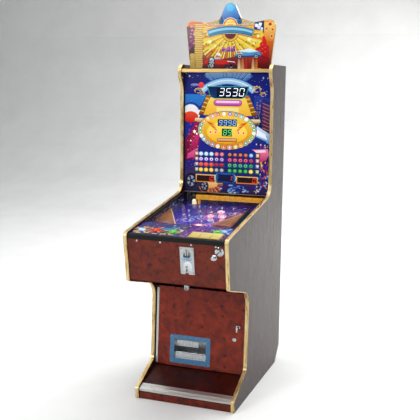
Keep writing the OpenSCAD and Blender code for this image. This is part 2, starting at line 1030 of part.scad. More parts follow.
module glass_channels() {
    color("#15171a")
        on_deck()
            for (s = [-1, 1])
                difference() {
                    translate([s > 0 ? half - 12 : -half, glass_y0, glass_z - 4])
                        cube([12, glass_y1 - glass_y0, glass_t + 6.5]);
                    translate([s > 0 ? half - 13 : -half + 2.5, glass_y0 - 1, glass_z - 0.2])
                        cube([10.5, glass_y1 - glass_y0 + 2, glass_t + 0.4]);
                }
}

// ---- head ----

module backglass() {
    color("#3a4fb0", 0.6)
        block([-half + 2, glass_head_y, head_z0], [half - 2, glass_head_y + 5, head_board_z - panel_t - 3]);
}

module head_trim() {
    trim_y = toe + head_y - flare + 4;
    color("#c9a860") {
        block([-half + 0.5, trim_y, head_board_z - panel_t - 1], [half - 0.5, trim_y + 3, head_board_z]);
        block(
            [-half + 0.5, trim_y + 2, head_board_z - panel_t - 3],
            [half - 0.5, glass_head_y + 8, head_board_z - panel_t]
        );
        block(
            [-half + 0.5, glass_head_y + 5.5, head_board_z - panel_t - 16],
            [half - 0.5, glass_head_y + 8, head_board_z - panel_t - 2]
        );
        block([-half + 0.5, glass_head_y - 12, head_z0 - 3], [half - 0.5, glass_head_y + 8, head_z0]);
    }
}

module display_board() {
    color("#1f5a3a")
        difference() {
            block([-half + 14, board_y, low_z - 40], [half - 14, board_y + 3, head_top - 90]);
            for (sx = [-1, 1], z = [low_z - 25, head_top - 105])
                rod_y(sx * (half - 26), z, board_y - 1, board_y + 5, 2.5);
        }
}

module display_block(x, z, w, h) {
    block([x - w / 2, glass_head_y + 8.5, z - h / 2], [x + w / 2, board_y, z + h / 2]);
}

module jackpot_display() {
    color("#10152a")
        display_block(0, head_top - 149, window_w, window_h);
}

module small_displays() {
    color("#10152a") {
        display_block(2, ring_z + 43, 111, 36);
        display_block(0, ring_z - 10, 58, 38);
        display_block(-122, low_z, 108, 36);
        display_block(-3, low_z, 84, 36);
        display_block(122, low_z, 112, 34);
    }
}

module lamps() {
    color("#fff2c0")
        for (p = LAMPS) {
            rod_y(p.x, p.y, glass_head_y + 16, board_y, 5);
            rod_y(p.x, p.y, board_y - 3, board_y, 7);
        }
}

module head_top_board() {
    color("#2a1c18")
        block(
            [-half, toe + head_y - flare + 7, head_board_z - panel_t],
            [half, back - panel_t, head_board_z]
        );
}

module topper() {
    w = topper_w / 2;
    foot = w - 31;
    shoulder_z = topper_h - 85;
    valley_x = w * 0.49;
    valley_z = topper_h - 107;
    dome_z = topper_h - 84;
    color("#e0b030")
        translate([0, 0, head_board_z])
            plate(topper_y, topper_t)
                rounded(
                    [
                        [-foot, 0], [-w, shoulder_z], [-valley_x, valley_z],
                        [-dome_w / 2, dome_z], [-24, topper_h], [24, topper_h],
                        [dome_w / 2, dome_z], [valley_x, valley_z],
                        [w, shoulder_z], [foot, 0]
                    ],
                    [0, 38, 110, 14, 34, 34, 14, 110, 38, 0]
                );
}

module topper_brackets() {
    color("#a8a8a4")
        for (sx = [-1, 1])
            translate([sx * 130 - 15, topper_y + topper_t, head_board_z]) {
                cube([30, 2.5, 120]);
                cube([30, 60, 2.5]);
                translate([14, 0, 0])
                    cube([2, 40, 40]);
            }
}

// ---- back and inside ----

module rear_panel() {
    color("#2a1c18")
        difference() {
            block([-half, back - panel_t, rear_split + door_gap], [half, back, head_board_z]);
            block([-160, back - panel_t - 1, rear_split + 40], [-110, back + 1, rear_split + 70]);
            for (i = [0 : 6])
                translate([0, 0, head_top - 180 - i * 16])
                    block([-90, back - panel_t - 1, 0], [90, back + 1, 6]);
        }
}

module rear_foot_panel() {
    cut = [cab_depth - base_depth, tail_cut_h];
    color("#2a1c18")
        translate([0, toe + base_depth, 0])
            rotate([atan2(cut.y, cut.x), 0, 0])
                block([-half, 10, recess], [half, norm(cut) - 12, recess + 12]);
}

module rear_door() {
    z0 = tail_cut_h + 20;
    color("#2a1c18")
        difference() {
            union() {
                block([-half + door_gap, back - panel_t, z0], [half - door_gap, back, rear_split]);
                rod_y(half - 45, rear_split - 90, back, back + 5, 11);
            }
            for (i = [0 : 6])
                block([-70, back - panel_t - 1, z0 + 60 + i * 16], [70, back + 1, z0 + 66 + i * 16]);
            block([half - 46, back + 2, rear_split - 94], [half - 44, back + 6, rear_split - 86]);
        }
}

module power_inlet() {
    color("#17181a")
        difference() {
            union() {
                block([-164, back, rear_split + 36], [-106, back + 3, rear_split + 74]);
                block([-159.5, back - 40, rear_split + 40.5], [-110.5, back + 1, rear_split + 69.5]);
            }
            block([-150, back - 18, rear_split + 46], [-126, back + 5, rear_split + 64]);
        }
}

module hopper() {
    x0 = tray_x - hopper_w / 2;
    color("#2c3a52")
        difference() {
            union() {
                block([x0, hopper_y, board_t], [x0 + hopper_w, hopper_y + hopper_d, board_t + hopper_h]);
                block(
                    [tray_x - 40, hopper_y - 66, board_t + hopper_h],
                    [tray_x + 40, hopper_y + 10, board_t + hopper_h + 3]
                );
            }
            block(
                [x0 + 4, hopper_y + 4, board_t + 40],
                [x0 + hopper_w - 4, hopper_y + hopper_d - 4, board_t + hopper_h + 10]
            );
            translate([tray_x, hopper_y + hopper_d / 2, board_t + 10])
                cylinder(h = 60, r = 4 + run_fit);
        }
}

module hopper_disc() {
    color("#b8bcc0")
        translate([tray_x, hopper_y + hopper_d / 2, board_t]) {
            difference() {
                translate([0, 0, 43])
                    cylinder(h = 8, r = disc_r);
                for (i = [0 : 5])
                    rotate([0, 0, i * 60])
                        translate([disc_r - 20, 0, 40])
                            cylinder(h = 20, r = 15);
            }
            translate([0, 0, 12])
                cylinder(h = 48, r = 4);
            translate([0, 0, 43])
                cylinder(h = 22, r = 12);
        }
}

left_side_panel();
right_side_panel();
left_moulding();
right_moulding();
base_panel();
kick_panel();
footrest_panel();
footrest_strip();
door_posts();
hinge_fixed_leaf();
front_panel();
box_bottom_panel();
lockdown_bar();
bar_bolts();
control_panel();
button_bodies();
blue_button();
red_button();
green_button();
start_button();
small_button();
coin_plate();
coin_mech();
coin_lever();
coin_return_chute();
shooter_housing();
shooter_rod();
shooter_spring();
ball();
playfield();
playfield_pins();
bumpers();
playfield_guards();
red_arch();
cross_bar();
lane_rail();
playfield_glass();
glass_channels();
backglass();
head_trim();
display_board();
jackpot_display();
small_displays();
lamps();
head_top_board();
topper();
topper_brackets();
rear_panel();
rear_foot_panel();
rear_door();
power_inlet();
hopper();
hopper_disc();
door_panel();
hinge_door_leaf();
door_handle();
door_lock();
tray_frame();
tray_bucket();
tray_flap();
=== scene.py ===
"""Finishes and printed art for an upright pachinko machine, laid over its CAD frame."""
import json
import math
import random

import bmesh
import bpy
from mathutils import Matrix, Vector


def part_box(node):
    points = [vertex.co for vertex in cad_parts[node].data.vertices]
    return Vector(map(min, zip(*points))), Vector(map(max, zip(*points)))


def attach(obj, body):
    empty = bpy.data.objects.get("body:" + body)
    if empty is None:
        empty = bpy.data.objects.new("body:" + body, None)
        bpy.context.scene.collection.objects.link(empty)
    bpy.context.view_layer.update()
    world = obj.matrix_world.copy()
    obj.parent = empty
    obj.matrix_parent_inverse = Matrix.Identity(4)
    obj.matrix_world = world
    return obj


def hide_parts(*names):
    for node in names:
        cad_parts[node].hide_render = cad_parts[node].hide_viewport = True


bl_info = {
    "name": "Pachinko machine",
    "version": (1, 0, 0),
    "blender": (4, 5, 0),
    "location": "View3D > Sidebar > Pachinko",
    "description": "Builds the finishes, printed art and small parts of a pachinko machine",
    "category": "Object",
}

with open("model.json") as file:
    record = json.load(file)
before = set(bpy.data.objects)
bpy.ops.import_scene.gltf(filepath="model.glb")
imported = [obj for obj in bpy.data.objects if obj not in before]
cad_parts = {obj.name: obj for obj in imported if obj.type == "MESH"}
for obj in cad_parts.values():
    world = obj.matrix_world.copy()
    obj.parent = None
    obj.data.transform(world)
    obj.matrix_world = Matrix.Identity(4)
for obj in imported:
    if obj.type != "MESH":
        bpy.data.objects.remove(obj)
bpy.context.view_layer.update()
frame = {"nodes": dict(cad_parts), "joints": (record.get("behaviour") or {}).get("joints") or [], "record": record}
MM = 0.001

# ---------------------------------------------------------------- places

JOINTS = {joint["name"]: joint for joint in frame["joints"]}


def place_of(node):
    """Lowest and highest corner of a CAD node, in millimetres."""
    low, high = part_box(node)
    return Vector(low) / MM, Vector(high) / MM


class Datum:
    """A flat reference: millimetres along u and v, and out along n."""

    def __init__(self, origin, u, v):
        self.origin = Vector(origin)
        self.u = Vector(u).normalized()
        self.v = Vector(v).normalized()
        self.n = self.u.cross(self.v)

    def at(self, a, b, out=0.0):
        return (self.origin + self.u * a + self.v * b + self.n * out) * MM


def deck_datum():
    """The raked deck: u to the right, v up the rake, n square to the glass."""
    low, high = place_of("ball")
    ball = (low + high) / 2
    rake = Vector(JOINTS["ball_roll"]["axis"])
    right = Vector((1, 0, 0))
    out = right.cross(rake)
    # the ball rests 223 mm right of the middle, 184.5 up the deck and 56.8 below it
    return Datum(ball - right * 223 - rake * 184.5 + out * 56.8, right, rake)


def door_datum():
    """The lower door: u to the right, v up the door, n towards the player."""
    joint = JOINTS["lower_door_hinge"]
    up = -Vector(joint["axis"])
    right = Vector((1, 0, 0))
    out = right.cross(up)
    # the hinge pin's point lies 235.5 mm left of the middle, 200 up and 4.5 behind
    return Datum(Vector(joint["pos_m"]) / MM + right * 235.5 - up * 200 + out * 4.5, right, up)


DECK = deck_datum()
DOOR = door_datum()
FRONT = Datum(DECK.origin, DECK.u, DECK.n)
GLASS_LOW, GLASS_HIGH = place_of("backglass")
HEAD = Datum((0, GLASS_LOW.y, 0), (1, 0, 0), (0, 0, 1))
SIGN_LOW = place_of("topper")[0]
SIGN = Datum((0, SIGN_LOW.y, SIGN_LOW.z), (1, 0, 0), (0, 0, 1))
FIELD_DROP = 70.5
INNER_HALF = 252.0

# ---------------------------------------------------------------- nodes and colours


def linear(hex_colour, alpha=1.0):
    """sRGB hex such as "C08040" to a linear colour."""
    parts = [int(hex_colour[i:i + 2], 16) / 255 for i in (0, 2, 4)]
    low = [p / 12.92 if p <= 0.04045 else ((p + 0.055) / 1.055) ** 2.4 for p in parts]
    return (*low, alpha)


def add(tree, kind, inputs=None, stops=None, **settings):
    """Adds a node with its settings, a ramp's stops, and its values or links."""
    made = tree.nodes.new(kind)
    for key, value in settings.items():
        setattr(made, key, value)
    if stops:
        ramp = made.color_ramp
        while len(ramp.elements) < len(stops):
            ramp.elements.new(0.5)
        for element, (position, colour) in zip(ramp.elements, stops):
            element.position = position
            element.color = linear(colour) if isinstance(colour, str) else (colour, colour, colour, 1)
    for key, value in (inputs or {}).items():
        if isinstance(value, bpy.types.NodeSocket):
            tree.links.new(value, made.inputs[key])
        else:
            made.inputs[key].default_value = value
    return made


def blank(name):
    """A new material with a Principled shader: (material, tree, shader)."""
    material = bpy.data.materials.new(name)
    material.use_nodes = True
    tree = material.node_tree
    return material, tree, tree.nodes["Principled BSDF"]


def scaled_coords(tree, size_mm, stretch=(1, 1, 1), turn=(0, 0, 0)):
    """Object coordinates in units of size_mm."""
    coords = add(tree, "ShaderNodeTexCoord")
    scale = [1 / (size_mm * MM * s) for s in stretch]
    return add(tree, "ShaderNodeMapping", {
        "Vector": coords.outputs["Object"], "Scale": scale, "Rotation": turn,
    }).outputs["Vector"]


def surface(name, stops, grain_mm, rough, stretch=(1, 1, 1), bump=0.0, bump_mm=0.05, detail=4.0, **values):
    """Mottled or grained finish: colour, roughness and bump follow one noise.

    stops are the ramp's colours, rough the lowest and highest roughness, and
    values are set on the shader's own sockets.
    """
    material, tree, shader = blank(name)
    vector = scaled_coords(tree, grain_mm, stretch)
    noise = add(tree, "ShaderNodeTexNoise", {
        "Vector": vector, "Scale": 1.0, "Detail": detail, "Roughness": 0.6,
    })
    colour = add(tree, "ShaderNodeValToRGB", {"Fac": noise.outputs["Fac"]}, stops=stops)
    wear = add(tree, "ShaderNodeMapRange", {
        "Value": noise.outputs["Fac"], "From Min": 0.3, "From Max": 0.7,
        "To Min": rough[0], "To Max": rough[1],
    })
    tree.links.new(colour.outputs["Color"], shader.inputs["Base Color"])
    tree.links.new(wear.outputs["Result"], shader.inputs["Roughness"])
    if bump:
        relief = add(tree, "ShaderNodeBump", {
            "Height": noise.outputs["Fac"], "Strength": bump, "Distance": bump_mm * MM,
        })
        tree.links.new(relief.outputs["Normal"], shader.inputs["Normal"])
    for key, value in values.items():
        shader.inputs[key.replace("_", " ")].default_value = value
    return material


def burl_laminate(name, stops, eye_mm=34.0, dark="1C0705", gloss=0.22):
    """Printed burl under a gloss melamine skin: swirling grain round dark eyes."""
    material, tree, shader = blank(name)
    vector = scaled_coords(tree, eye_mm)
    swirl = add(tree, "ShaderNodeTexNoise", {"Vector": vector, "Scale": 0.55, "Detail": 3.0})
    pushed = add(tree, "ShaderNodeVectorMath", {0: swirl.outputs["Color"], 1: (1.6, 1.6, 1.6)},
                 operation="MULTIPLY")
    moved = add(tree, "ShaderNodeVectorMath", {0: vector, 1: pushed.outputs["Vector"]}, operation="ADD")
    cloud = add(tree, "ShaderNodeTexNoise", {
        "Vector": moved.outputs["Vector"], "Scale": 0.7, "Detail": 7.0, "Roughness": 0.62, "Distortion": 0.9,
    })
    base = add(tree, "ShaderNodeValToRGB", {"Fac": cloud.outputs["Fac"]}, stops=stops)
    # fine figure lines, about 3 mm apart, that follow the swirl
    figure = add(tree, "ShaderNodeTexNoise", {
        "Vector": moved.outputs["Vector"], "Scale": 9.0, "Detail": 5.0, "Roughness": 0.7, "Distortion": 1.5,
    })
    lines = add(
        tree, "ShaderNodeValToRGB", {"Fac": figure.outputs["Fac"]}, stops=[(0.38, 0.55), (0.62, 1.15)]
    )
    grained = add(tree, "ShaderNodeMix", {
        0: 0.55, 6: base.outputs["Color"], 7: lines.outputs["Color"],
    }, data_type="RGBA", blend_type="MULTIPLY")
    eyes = add(tree, "ShaderNodeTexVoronoi", {
        "Vector": moved.outputs["Vector"], "Scale": 0.8, "Randomness": 1.0,
    })
    spots = add(tree, "ShaderNodeValToRGB", {"Fac": eyes.outputs["Distance"]},
                stops=[(0.03, 1.0), (0.16, 0.35), (0.30, 0.0)])
    knots = add(tree, "ShaderNodeMix", {
        0: spots.outputs["Color"], 6: grained.outputs[2], 7: linear(dark),
    }, data_type="RGBA")
    tree.links.new(knots.outputs[2], shader.inputs["Base Color"])
    # melamine is near mirror-smooth with a faint orange-peel
    peel = add(
        tree, "ShaderNodeTexNoise", {"Vector": scaled_coords(tree, 2.2), "Scale": 1.0, "Detail": 2.0}
    )
    relief = add(tree, "ShaderNodeBump", {
        "Height": peel.outputs["Fac"], "Strength": 0.05, "Distance": 0.05 * MM,
    })
    tree.links.new(relief.outputs["Normal"], shader.inputs["Normal"])
    shader.inputs["Roughness"].default_value = gloss
    shader.inputs["Specular IOR Level"].default_value = 0.22
    shader.inputs["Coat Weight"].default_value = 0.08
    shader.inputs["Coat Roughness"].default_value = 0.1
    return material


def printed_film(name, glow=0.0, rough=0.25):
    """Ink on clear film: colour comes from the sheet's own Ink attribute.

    The attribute's alpha marks the spots that are lit from behind.
    """
    material, tree, shader = blank(name)
    ink = add(tree, "ShaderNodeAttribute", attribute_name="Ink")
    # ink density wanders a little, in 6 mm patches, with a 1 mm dot screen
    patch = add(
        tree, "ShaderNodeTexNoise", {"Vector": scaled_coords(tree, 6.0), "Scale": 1.0, "Detail": 3.0}
    )
    screen = add(
        tree, "ShaderNodeTexVoronoi", {"Vector": scaled_coords(tree, 1.1), "Scale": 1.0, "Randomness": 0.1}
    )
    density = add(
        tree, "ShaderNodeMath", {0: patch.outputs["Fac"], 1: screen.outputs["Distance"]}, operation="ADD"
    )
    shade = add(tree, "ShaderNodeMapRange", {
        "Value": density.outputs["Value"], "From Min": 0.4, "From Max": 1.5, "To Min": 1.12, "To Max": 0.86,
    })
    mixed = add(tree, "ShaderNodeVectorMath", {0: ink.outputs["Color"], "Scale": shade.outputs["Result"]},
                operation="SCALE")
    tree.links.new(mixed.outputs["Vector"], shader.inputs["Base Color"])
    if glow:
        tree.links.new(mixed.outputs["Vector"], shader.inputs["Emission Color"])
        power = add(tree, "ShaderNodeMath", {0: ink.outputs["Alpha"], 1: glow}, operation="MULTIPLY")
        tree.links.new(power.outputs["Value"], shader.inputs["Emission Strength"])
    shader.inputs["Roughness"].default_value = rough
    shader.inputs["Specular IOR Level"].default_value = 0.3
    shader.inputs["Coat Weight"].default_value = 0.12
    shader.inputs["Coat Roughness"].default_value = 0.05
    return material


def lit_cap(name, deep, pale, glow):
    """Translucent acrylic over a lamp: paler and brighter where it is thin."""
    material, tree, shader = blank(name)
    cloud = add(
        tree, "ShaderNodeTexNoise", {"Vector": scaled_coords(tree, 14.0), "Scale": 1.0, "Detail": 2.0}
    )
    tint = add(
        tree, "ShaderNodeValToRGB", {"Fac": cloud.outputs["Fac"]}, stops=[(0.35, deep), (0.68, pale)]
    )
    tree.links.new(tint.outputs["Color"], shader.inputs["Base Color"])
    tree.links.new(tint.outputs["Color"], shader.inputs["Emission Color"])
    shader.inputs["Emission Strength"].default_value = glow
    shader.inputs["Roughness"].default_value = 0.12
    shader.inputs["Coat Weight"].default_value = 0.5
    return material


def clear_glass(name):
    """Toughened float glass: clear, with a faint green body and fine smears."""
    material, tree, shader = blank(name)
    smear = add(tree, "ShaderNodeTexNoise", {
        "Vector": scaled_coords(tree, 60.0, (1, 3, 1)), "Scale": 1.0, "Detail": 3.0,
    })
    haze = add(tree, "ShaderNodeMapRange", {"Value": smear.outputs["Fac"], "To Min": 0.0, "To Max": 0.05})
    tint = add(
        tree, "ShaderNodeValToRGB", {"Fac": smear.outputs["Fac"]}, stops=[(0.3, "F4FBF8"), (0.8, "E6F2EE")]
    )
    tree.links.new(haze.outputs["Result"], shader.inputs["Roughness"])
    tree.links.new(tint.outputs["Color"], shader.inputs["Base Color"])
    shader.inputs["Transmission Weight"].default_value = 1.0
    shader.inputs["Alpha"].default_value = 0.06
    shader.inputs["IOR"].default_value = 1.5
    return material


def make_finishes():
    """Every material, by a short name."""
    m = {}
    # melamine-faced board printed with a dark walnut figure
    m["side"] = surface("dark_walnut_melamine", [(0.25, "1E100F"), (0.5, "34201C"), (0.75, "45291F")],
                        30, (
                            0.2, 0.32
                        ), stretch=(1, 1, 9), bump=0.04, Coat_Weight=0.05, Specular_IOR_Level=0.12)
    m["burl"] = burl_laminate(
        "red_burl_melamine", [(0.25, "3E120E"), (0.45, "66200F"), (0.62, "7E2814"), (0.8, "8E3219")]
    )
    m["door"] = burl_laminate(
        "bright_red_burl_melamine", [(0.25, "4C140E"), (0.45, "7C220F"), (0.62, "962C12"), (0.8, "A43A1A")],
        42
    )
    m["ramp"] = burl_laminate(
        "dark_burl_melamine", [(0.25, "230B0A"), (0.5, "42150F"), (0.8, "5C2015")], 38, gloss=0.34
    )
    # sealed plywood, brushed black-brown
    m["board"] = surface("stained_plywood", [(0.3, "17100D"), (0.6, "241A15"), (0.85, "33261E")],
                         9, (0.5, 0.7), stretch=(1, 1, 14), bump=0.3, bump_mm=0.2)
    # hot-foiled PVC edging: warm gold that mirrors softly, with long faint streaks
    m["gold"] = surface("gold_foiled_pvc", [(0.25, "A78548"), (0.5, "DDBE80"), (0.75, "F6E6BA")],
                        14, (0.22, 0.38), stretch=(1, 6, 6), bump=0.06, Metallic=0.6)
    m["gold_metal"] = surface("gold_anodised_aluminium", [(0.3, "B08A46"), (0.7, "E6C987")],
                              5, (0.26, 0.4), stretch=(20, 1, 1), bump=0.1, Metallic=1.0)
    # drawn aluminium, brushed along its length
    m["aluminium"] = surface("brushed_aluminium", [(0.3, "BFC0BE"), (0.5, "DADAD6"), (0.75, "EEEEEA")],
                             1.6, (0.28, 0.42), stretch=(40, 1, 1), bump=0.12, Metallic=0.9)
    m["steel"] = surface("brushed_stainless_steel", [(0.3, "9FA3A6"), (0.55, "C3C7C9"), (0.8, "D9DCDD")],
                         1.4, (0.24, 0.4), stretch=(1, 1, 30), bump=0.1, Metallic=0.95)
    m["zinc"] = surface("zinc_plated_steel", [(0.3, "7C8082"), (0.55, "9DA1A2"), (0.8, "B9BCBC")],
                        12, (0.3, 0.5), bump=0.1, Metallic=0.9)
    # polished chrome over die-cast zinc: bright, with faint handling haze
    m["chrome"] = surface(
        "polished_chrome", [(0.3, "A4A8AB"), (0.7, "D6D8D9")], 18, (0.14, 0.26), Metallic=1.0
    )
    # powder coat: fine orange peel, satin black
    m["black_metal"] = surface("black_powder_coat", [(0.3, "0B0D0C"), (0.7, "171B19")],
                               1.5, (0.4, 0.52), bump=0.35, bump_mm=0.08, Specular_IOR_Level=0.2)
    # sprayed enamel on folded steel
    m["blue_metal"] = surface("blue_spray_enamel", [(0.3, "2A6390"), (0.55, "3878A6"), (0.8, "4A8DBA")],
                              8, (0.24, 0.36), bump=0.15, Coat_Weight=0.3)
    # moulded ABS with a light spark texture
    m["black_plastic"] = surface("black_moulded_abs", [(0.3, "0E0F11"), (0.7, "1C1D20")],
                                 0.9, (0.4, 0.55), bump=0.25, bump_mm=0.06)
    m["hopper"] = surface(
        "grey_moulded_abs", [(0.3, "27303D"), (0.7, "374456")], 1.2, (0.45, 0.6), bump=0.2
    )
    # white nylon for the pin caps and bumper skirts; its faint white emission is a painted glow, as they hold no lamp
    m["nylon"] = surface("white_nylon_painted_glow", [(0.3, "E6E6EA"), (0.7, "FFFFFF")], 6, (0.25, 0.35),
                         Emission_Color=linear("FFFFFF"), Emission_Strength=0.12)
    m["amber"] = surface("printed_amber_acrylic", [(0.25, "7A3A1C"), (0.5, "B4652C"), (0.75, "D78B42")],
                         26, (0.12, 0.2), detail=6.0, Coat_Weight=0.4)
    m["red_plastic"] = lit_cap("red_translucent_acrylic", "A80F1C", "F23A2E", 0.25)
    m["pink_cap"] = lit_cap("pink_translucent_acrylic", "F04C86", "FFD3E6", 0.9)
    m["blue_cap"] = lit_cap("blue_lit_acrylic", "1C62C8", "BFE6FF", 0.7)
    m["red_cap"] = lit_cap("red_lit_acrylic", "B9180E", "F2452A", 0.3)
    m["green_cap"] = lit_cap("green_lit_acrylic", "23912B", "7BE04F", 0.35)
    # yellow enamel for the cross bar; its emission is a painted glow that lifts the bar out of the shade it sits in, as
    # it holds no lamp
    m["yellow"] = surface("yellow_enamel_painted_glow", [(0.3, "E09008"), (0.7, "F5B01C")], 20, (0.22, 0.32),
                          Emission_Color=linear("F0A818"), Emission_Strength=0.3)
    m["pcb"] = surface("green_solder_mask", [(0.35, "0C3B22"), (0.6, "175A35"), (0.8, "2A7A4B")],
                       5, (0.3, 0.45), detail=8.0, bump=0.2)
    m["display"] = surface("tinted_display_window", [(0.3, "05070E"), (0.7, "0A0F1D")], 20, (0.08, 0.14))
    m["lamp"] = surface("frosted_lamp", [(0.3, "FFE9A8"), (0.7, "FFF8DC")], 4, (0.4, 0.5),
                        Emission_Color=linear("FFF0C0"), Emission_Strength=0.6)
    m["sign_core"] = surface(
        "gold_edged_acrylic", [(0.3, "C58A2A"), (0.7, "E7BE5A")], 12, (0.18, 0.28), Coat_Weight=0.3
    )
    m["back_core"] = surface("blue_backed_glass", [(0.3, "161C5A"), (0.7, "232E85")], 60, (0.05, 0.1))
    m["field_base"] = surface("lacquered_blue_plywood", [
        (0.3, "221C72"), (0.55, "352C9C"), (0.8, "4C3EC0")
    ],
                              50, (0.14, 0.22), Coat_Weight=0.5)
    m["glass"] = clear_glass("clear_toughened_glass")
    m["print"] = printed_film("printed_film")
    m["lit_print"] = printed_film("backlit_printed_film", glow=0.35, rough=0.18)
    return m


FINISH = {}

# which finish each CAD node's slot takes
SLOT_FINISH = {
    "side_laminate": "side", "burl_laminate": "burl", "door_board": "door", "ramp_laminate": "ramp",
    "inner_board": "board", "gold_trim": "gold", "gold_metal": "gold_metal", "aluminium": "aluminium",
    "steel": "steel", "chrome": "chrome", "black_metal": "black_metal", "blue_metal": "blue_metal",
    "black_plastic": "black_plastic", "art_panel": "print", "playfield_art": "field_base",
    "blue_cap": "blue_cap", "red_cap": "red_cap", "green_cap": "green_cap", "white_pin": "nylon",
    "pink_cap": "pink_cap", "amber_plastic": "amber", "red_plastic": "red_plastic",
    "yellow_paint": "yellow", "field_glass": "glass", "back_art": "back_core", "sign_art": "sign_core",
    "circuit_board": "pcb", "display_black": "display", "lamp": "lamp", "hopper_plastic": "hopper",
}

# ---------------------------------------------------------------- mesh makers


def finished(name, mesh, body, replaced=()):
    """Links a mesh as a piece at the origin that rides on a body."""
    piece = bpy.data.objects.new(name, mesh)
    bpy.context.scene.collection.objects.link(piece)
    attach(piece, body)
    if replaced:
        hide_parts(*replaced)
    return piece


class Sheet:
    """Flat inked shapes on a datum, in thin layers, gathered in one mesh."""

    LAYER = 0.06

    def __init__(self, datum, lift=0.05):
        self.datum, self.lift = datum, lift
        self.points, self.faces, self.inks = [], [], []
        self.bound = None

    def within(self, corners):
        """Cuts what follows to a convex outline, given anticlockwise."""
        self.bound = corners

    def _cut(self, outline):
        if not self.bound:
            return outline
        n = len(self.bound)
        for i in range(n):
            (ax, ay), (bx, by) = self.bound[i], self.bound[(i + 1) % n]

            def inside(p):
                return (bx - ax) * (p[1] - ay) - (by - ay) * (p[0] - ax)

            kept = []
            for j, q in enumerate(outline):
                p = outline[j - 1]
                dp, dq = inside(p), inside(q)
                if (dp >= 0) != (dq >= 0):
                    t = dp / (dp - dq)
                    kept.append((p[0] + t * (q[0] - p[0]), p[1] + t * (q[1] - p[1])))
                if dq >= 0:
                    kept.append(q)
            outline = kept
            if len(outline) < 3:
                return []
        return outline

    def shape(self, outline, ink, layer=0, top=None, lit=0.0):
        """A filled outline; a second ink makes an upward fade."""
        outline = self._cut([tuple(p) for p in outline])
        if len(outline) < 3:
            return
        area = sum(outline[i - 1][0] * q[1] - q[0] * outline[i - 1][1] for i, q in enumerate(outline))
        if area < 0:
            outline = outline[::-1]
        low = min(p[1] for p in outline)
        span = max(max(p[1] for p in outline) - low, 0.01)
        first, last = linear(ink), linear(top or ink)
        start = len(self.points)
        self.points += [self.datum.at(a, b, self.lift + layer * self.LAYER) for a, b in outline]
        self.faces.append(tuple(range(start, start + len(outline))))
        self.inks += [
            [first[k] + (last[k] - first[k]) * (b - low) / span for k in range(3)] + [lit]
            for a, b in outline
        ]

    def block(self, a0, b0, a1, b1, ink, layer=0, top=None, lit=0.0):
        self.shape([(a0, b0), (a1, b0), (a1, b1), (a0, b1)], ink, layer, top, lit)

    def oval(self, a, b, ra, rb, ink, layer=0, top=None, lit=0.0, sides=32, start=0.0, sweep=360.0):
        turns = [math.radians(start + sweep * i / sides) for i in range(sides + (sweep < 360))]
        self.shape([(a + ra * math.cos(t), b + rb * math.sin(t)) for t in turns], ink, layer, top, lit)

    def arc(self, a, b, ra, rb, width, start, end, ink, layer=0, lit=0.0, steps=16):
        """A curved band of the given width."""
        for i in range(steps):
            t0, t1 = (math.radians(start + (end - start) * (i + k) / steps) for k in (0, 1))
            self.shape([
                (a + (ra + s) * math.cos(t), b + (rb + s) * math.sin(t))
                for s, t in ((0, t0), (width, t0), (width, t1), (0, t1))
            ], ink, layer, None, lit)

    def star(self, a, b, size, ink, layer=0, tips=5, waist=0.42, turn=90.0, lit=0.0):
        self.shape([
            (a + size * (1 if i % 2 == 0 else waist) * math.cos(math.radians(turn + 180 * i / tips)),
             b + size * (1 if i % 2 == 0 else waist) * math.sin(math.radians(turn + 180 * i / tips)))
            for i in range(2 * tips)
        ], ink, layer, None, lit)

    def ray(self, a, b, r0, r1, start, end, ink, layer=0, lit=0.0):
        """A wedge of a sunburst."""
        self.shape([
            (a + r * math.cos(math.radians(t)), b + r * math.sin(math.radians(t)))
            for r, t in ((r0, start), (r1, start), (r1, end), (r0, end))
        ], ink, layer, None, lit)

    def pill(self, a0, b0, a1, b1, ink, layer=0, top=None, lit=0.0):
        """A bar with round ends."""
        r = (b1 - b0) / 2
        turns = [math.radians(-90 + 15 * i) for i in range(13)]
        right = [(a1 - r + r * math.cos(t), b0 + r + r * math.sin(t)) for t in turns]
        left = [(a0 + r - r * math.cos(t), b0 + r - r * math.sin(t)) for t in turns]
        self.shape(right + left, ink, layer, top, lit)

    def digit(self, number, a, b, wide, high, ink, layer, slant=0.16, bar=0.15, lit=3.0, dim=None):
        """One seven-segment digit; its unlit bars are drawn dim."""
        lit_bars = {0: "abcdef", 1: "bc", 2: "abdeg", 3: "abcdg", 4: "bcfg",
                    5: "acdfg", 6: "acdefg", 7: "abc", 8: "abcdefg", 9: "abcdfg"}.get(number, "")
        t, half = wide * bar, high / 2
        level = {"a": high - t / 2, "g": half, "d": t / 2}
        post = {"b": (wide - t / 2, half), "c": (wide - t / 2, 0), "f": (t / 2, half), "e": (t / 2, 0)}
        for name in "abcdefg":
            on = name in lit_bars
            if not on and not dim:
                continue
            if name in level:
                y, g = level[name], t * 0.62
                outline = [(g, y), (g + t / 2, y - t / 2), (wide - g - t / 2, y - t / 2),
                           (wide - g, y), (wide - g - t / 2, y + t / 2), (g + t / 2, y + t / 2)]
            else:
                x, y = post[name]
                g = t * 0.62
                outline = [(x, y + g), (x + t / 2, y + g + t / 2), (x + t / 2, y + half - g - t / 2),
                           (x, y + half - g), (x - t / 2, y + half - g - t / 2), (x - t / 2, y + g + t / 2)]
            self.shape([(a + x + slant * y, b + y) for x, y in outline],
                       ink if on else dim, layer, None, lit if on else 0.0)

    def number(self, digits, a0, a1, b, high, ink, layer, gap=0.28, **options):
        """A row of digits that fills a0 to a1; None leaves a place dark."""
        pitch = (a1 - a0) / len(digits)
        for i, value in enumerate(digits):
            self.digit(value, a0 + pitch * (i + gap / 4), b, pitch * (1 - gap), high, ink, layer, **options)

    def finish(self, name, body, slot, material):
        mesh = bpy.data.meshes.new(name)
        mesh.from_pydata(self.points, [], self.faces)
        colours = mesh.color_attributes.new("Ink", "FLOAT_COLOR", "POINT")
        for item, ink in zip(colours.data, self.inks):
            item.color = ink
        mesh.materials.append(material)
        mesh.validate()
        return finished(name, mesh, body)


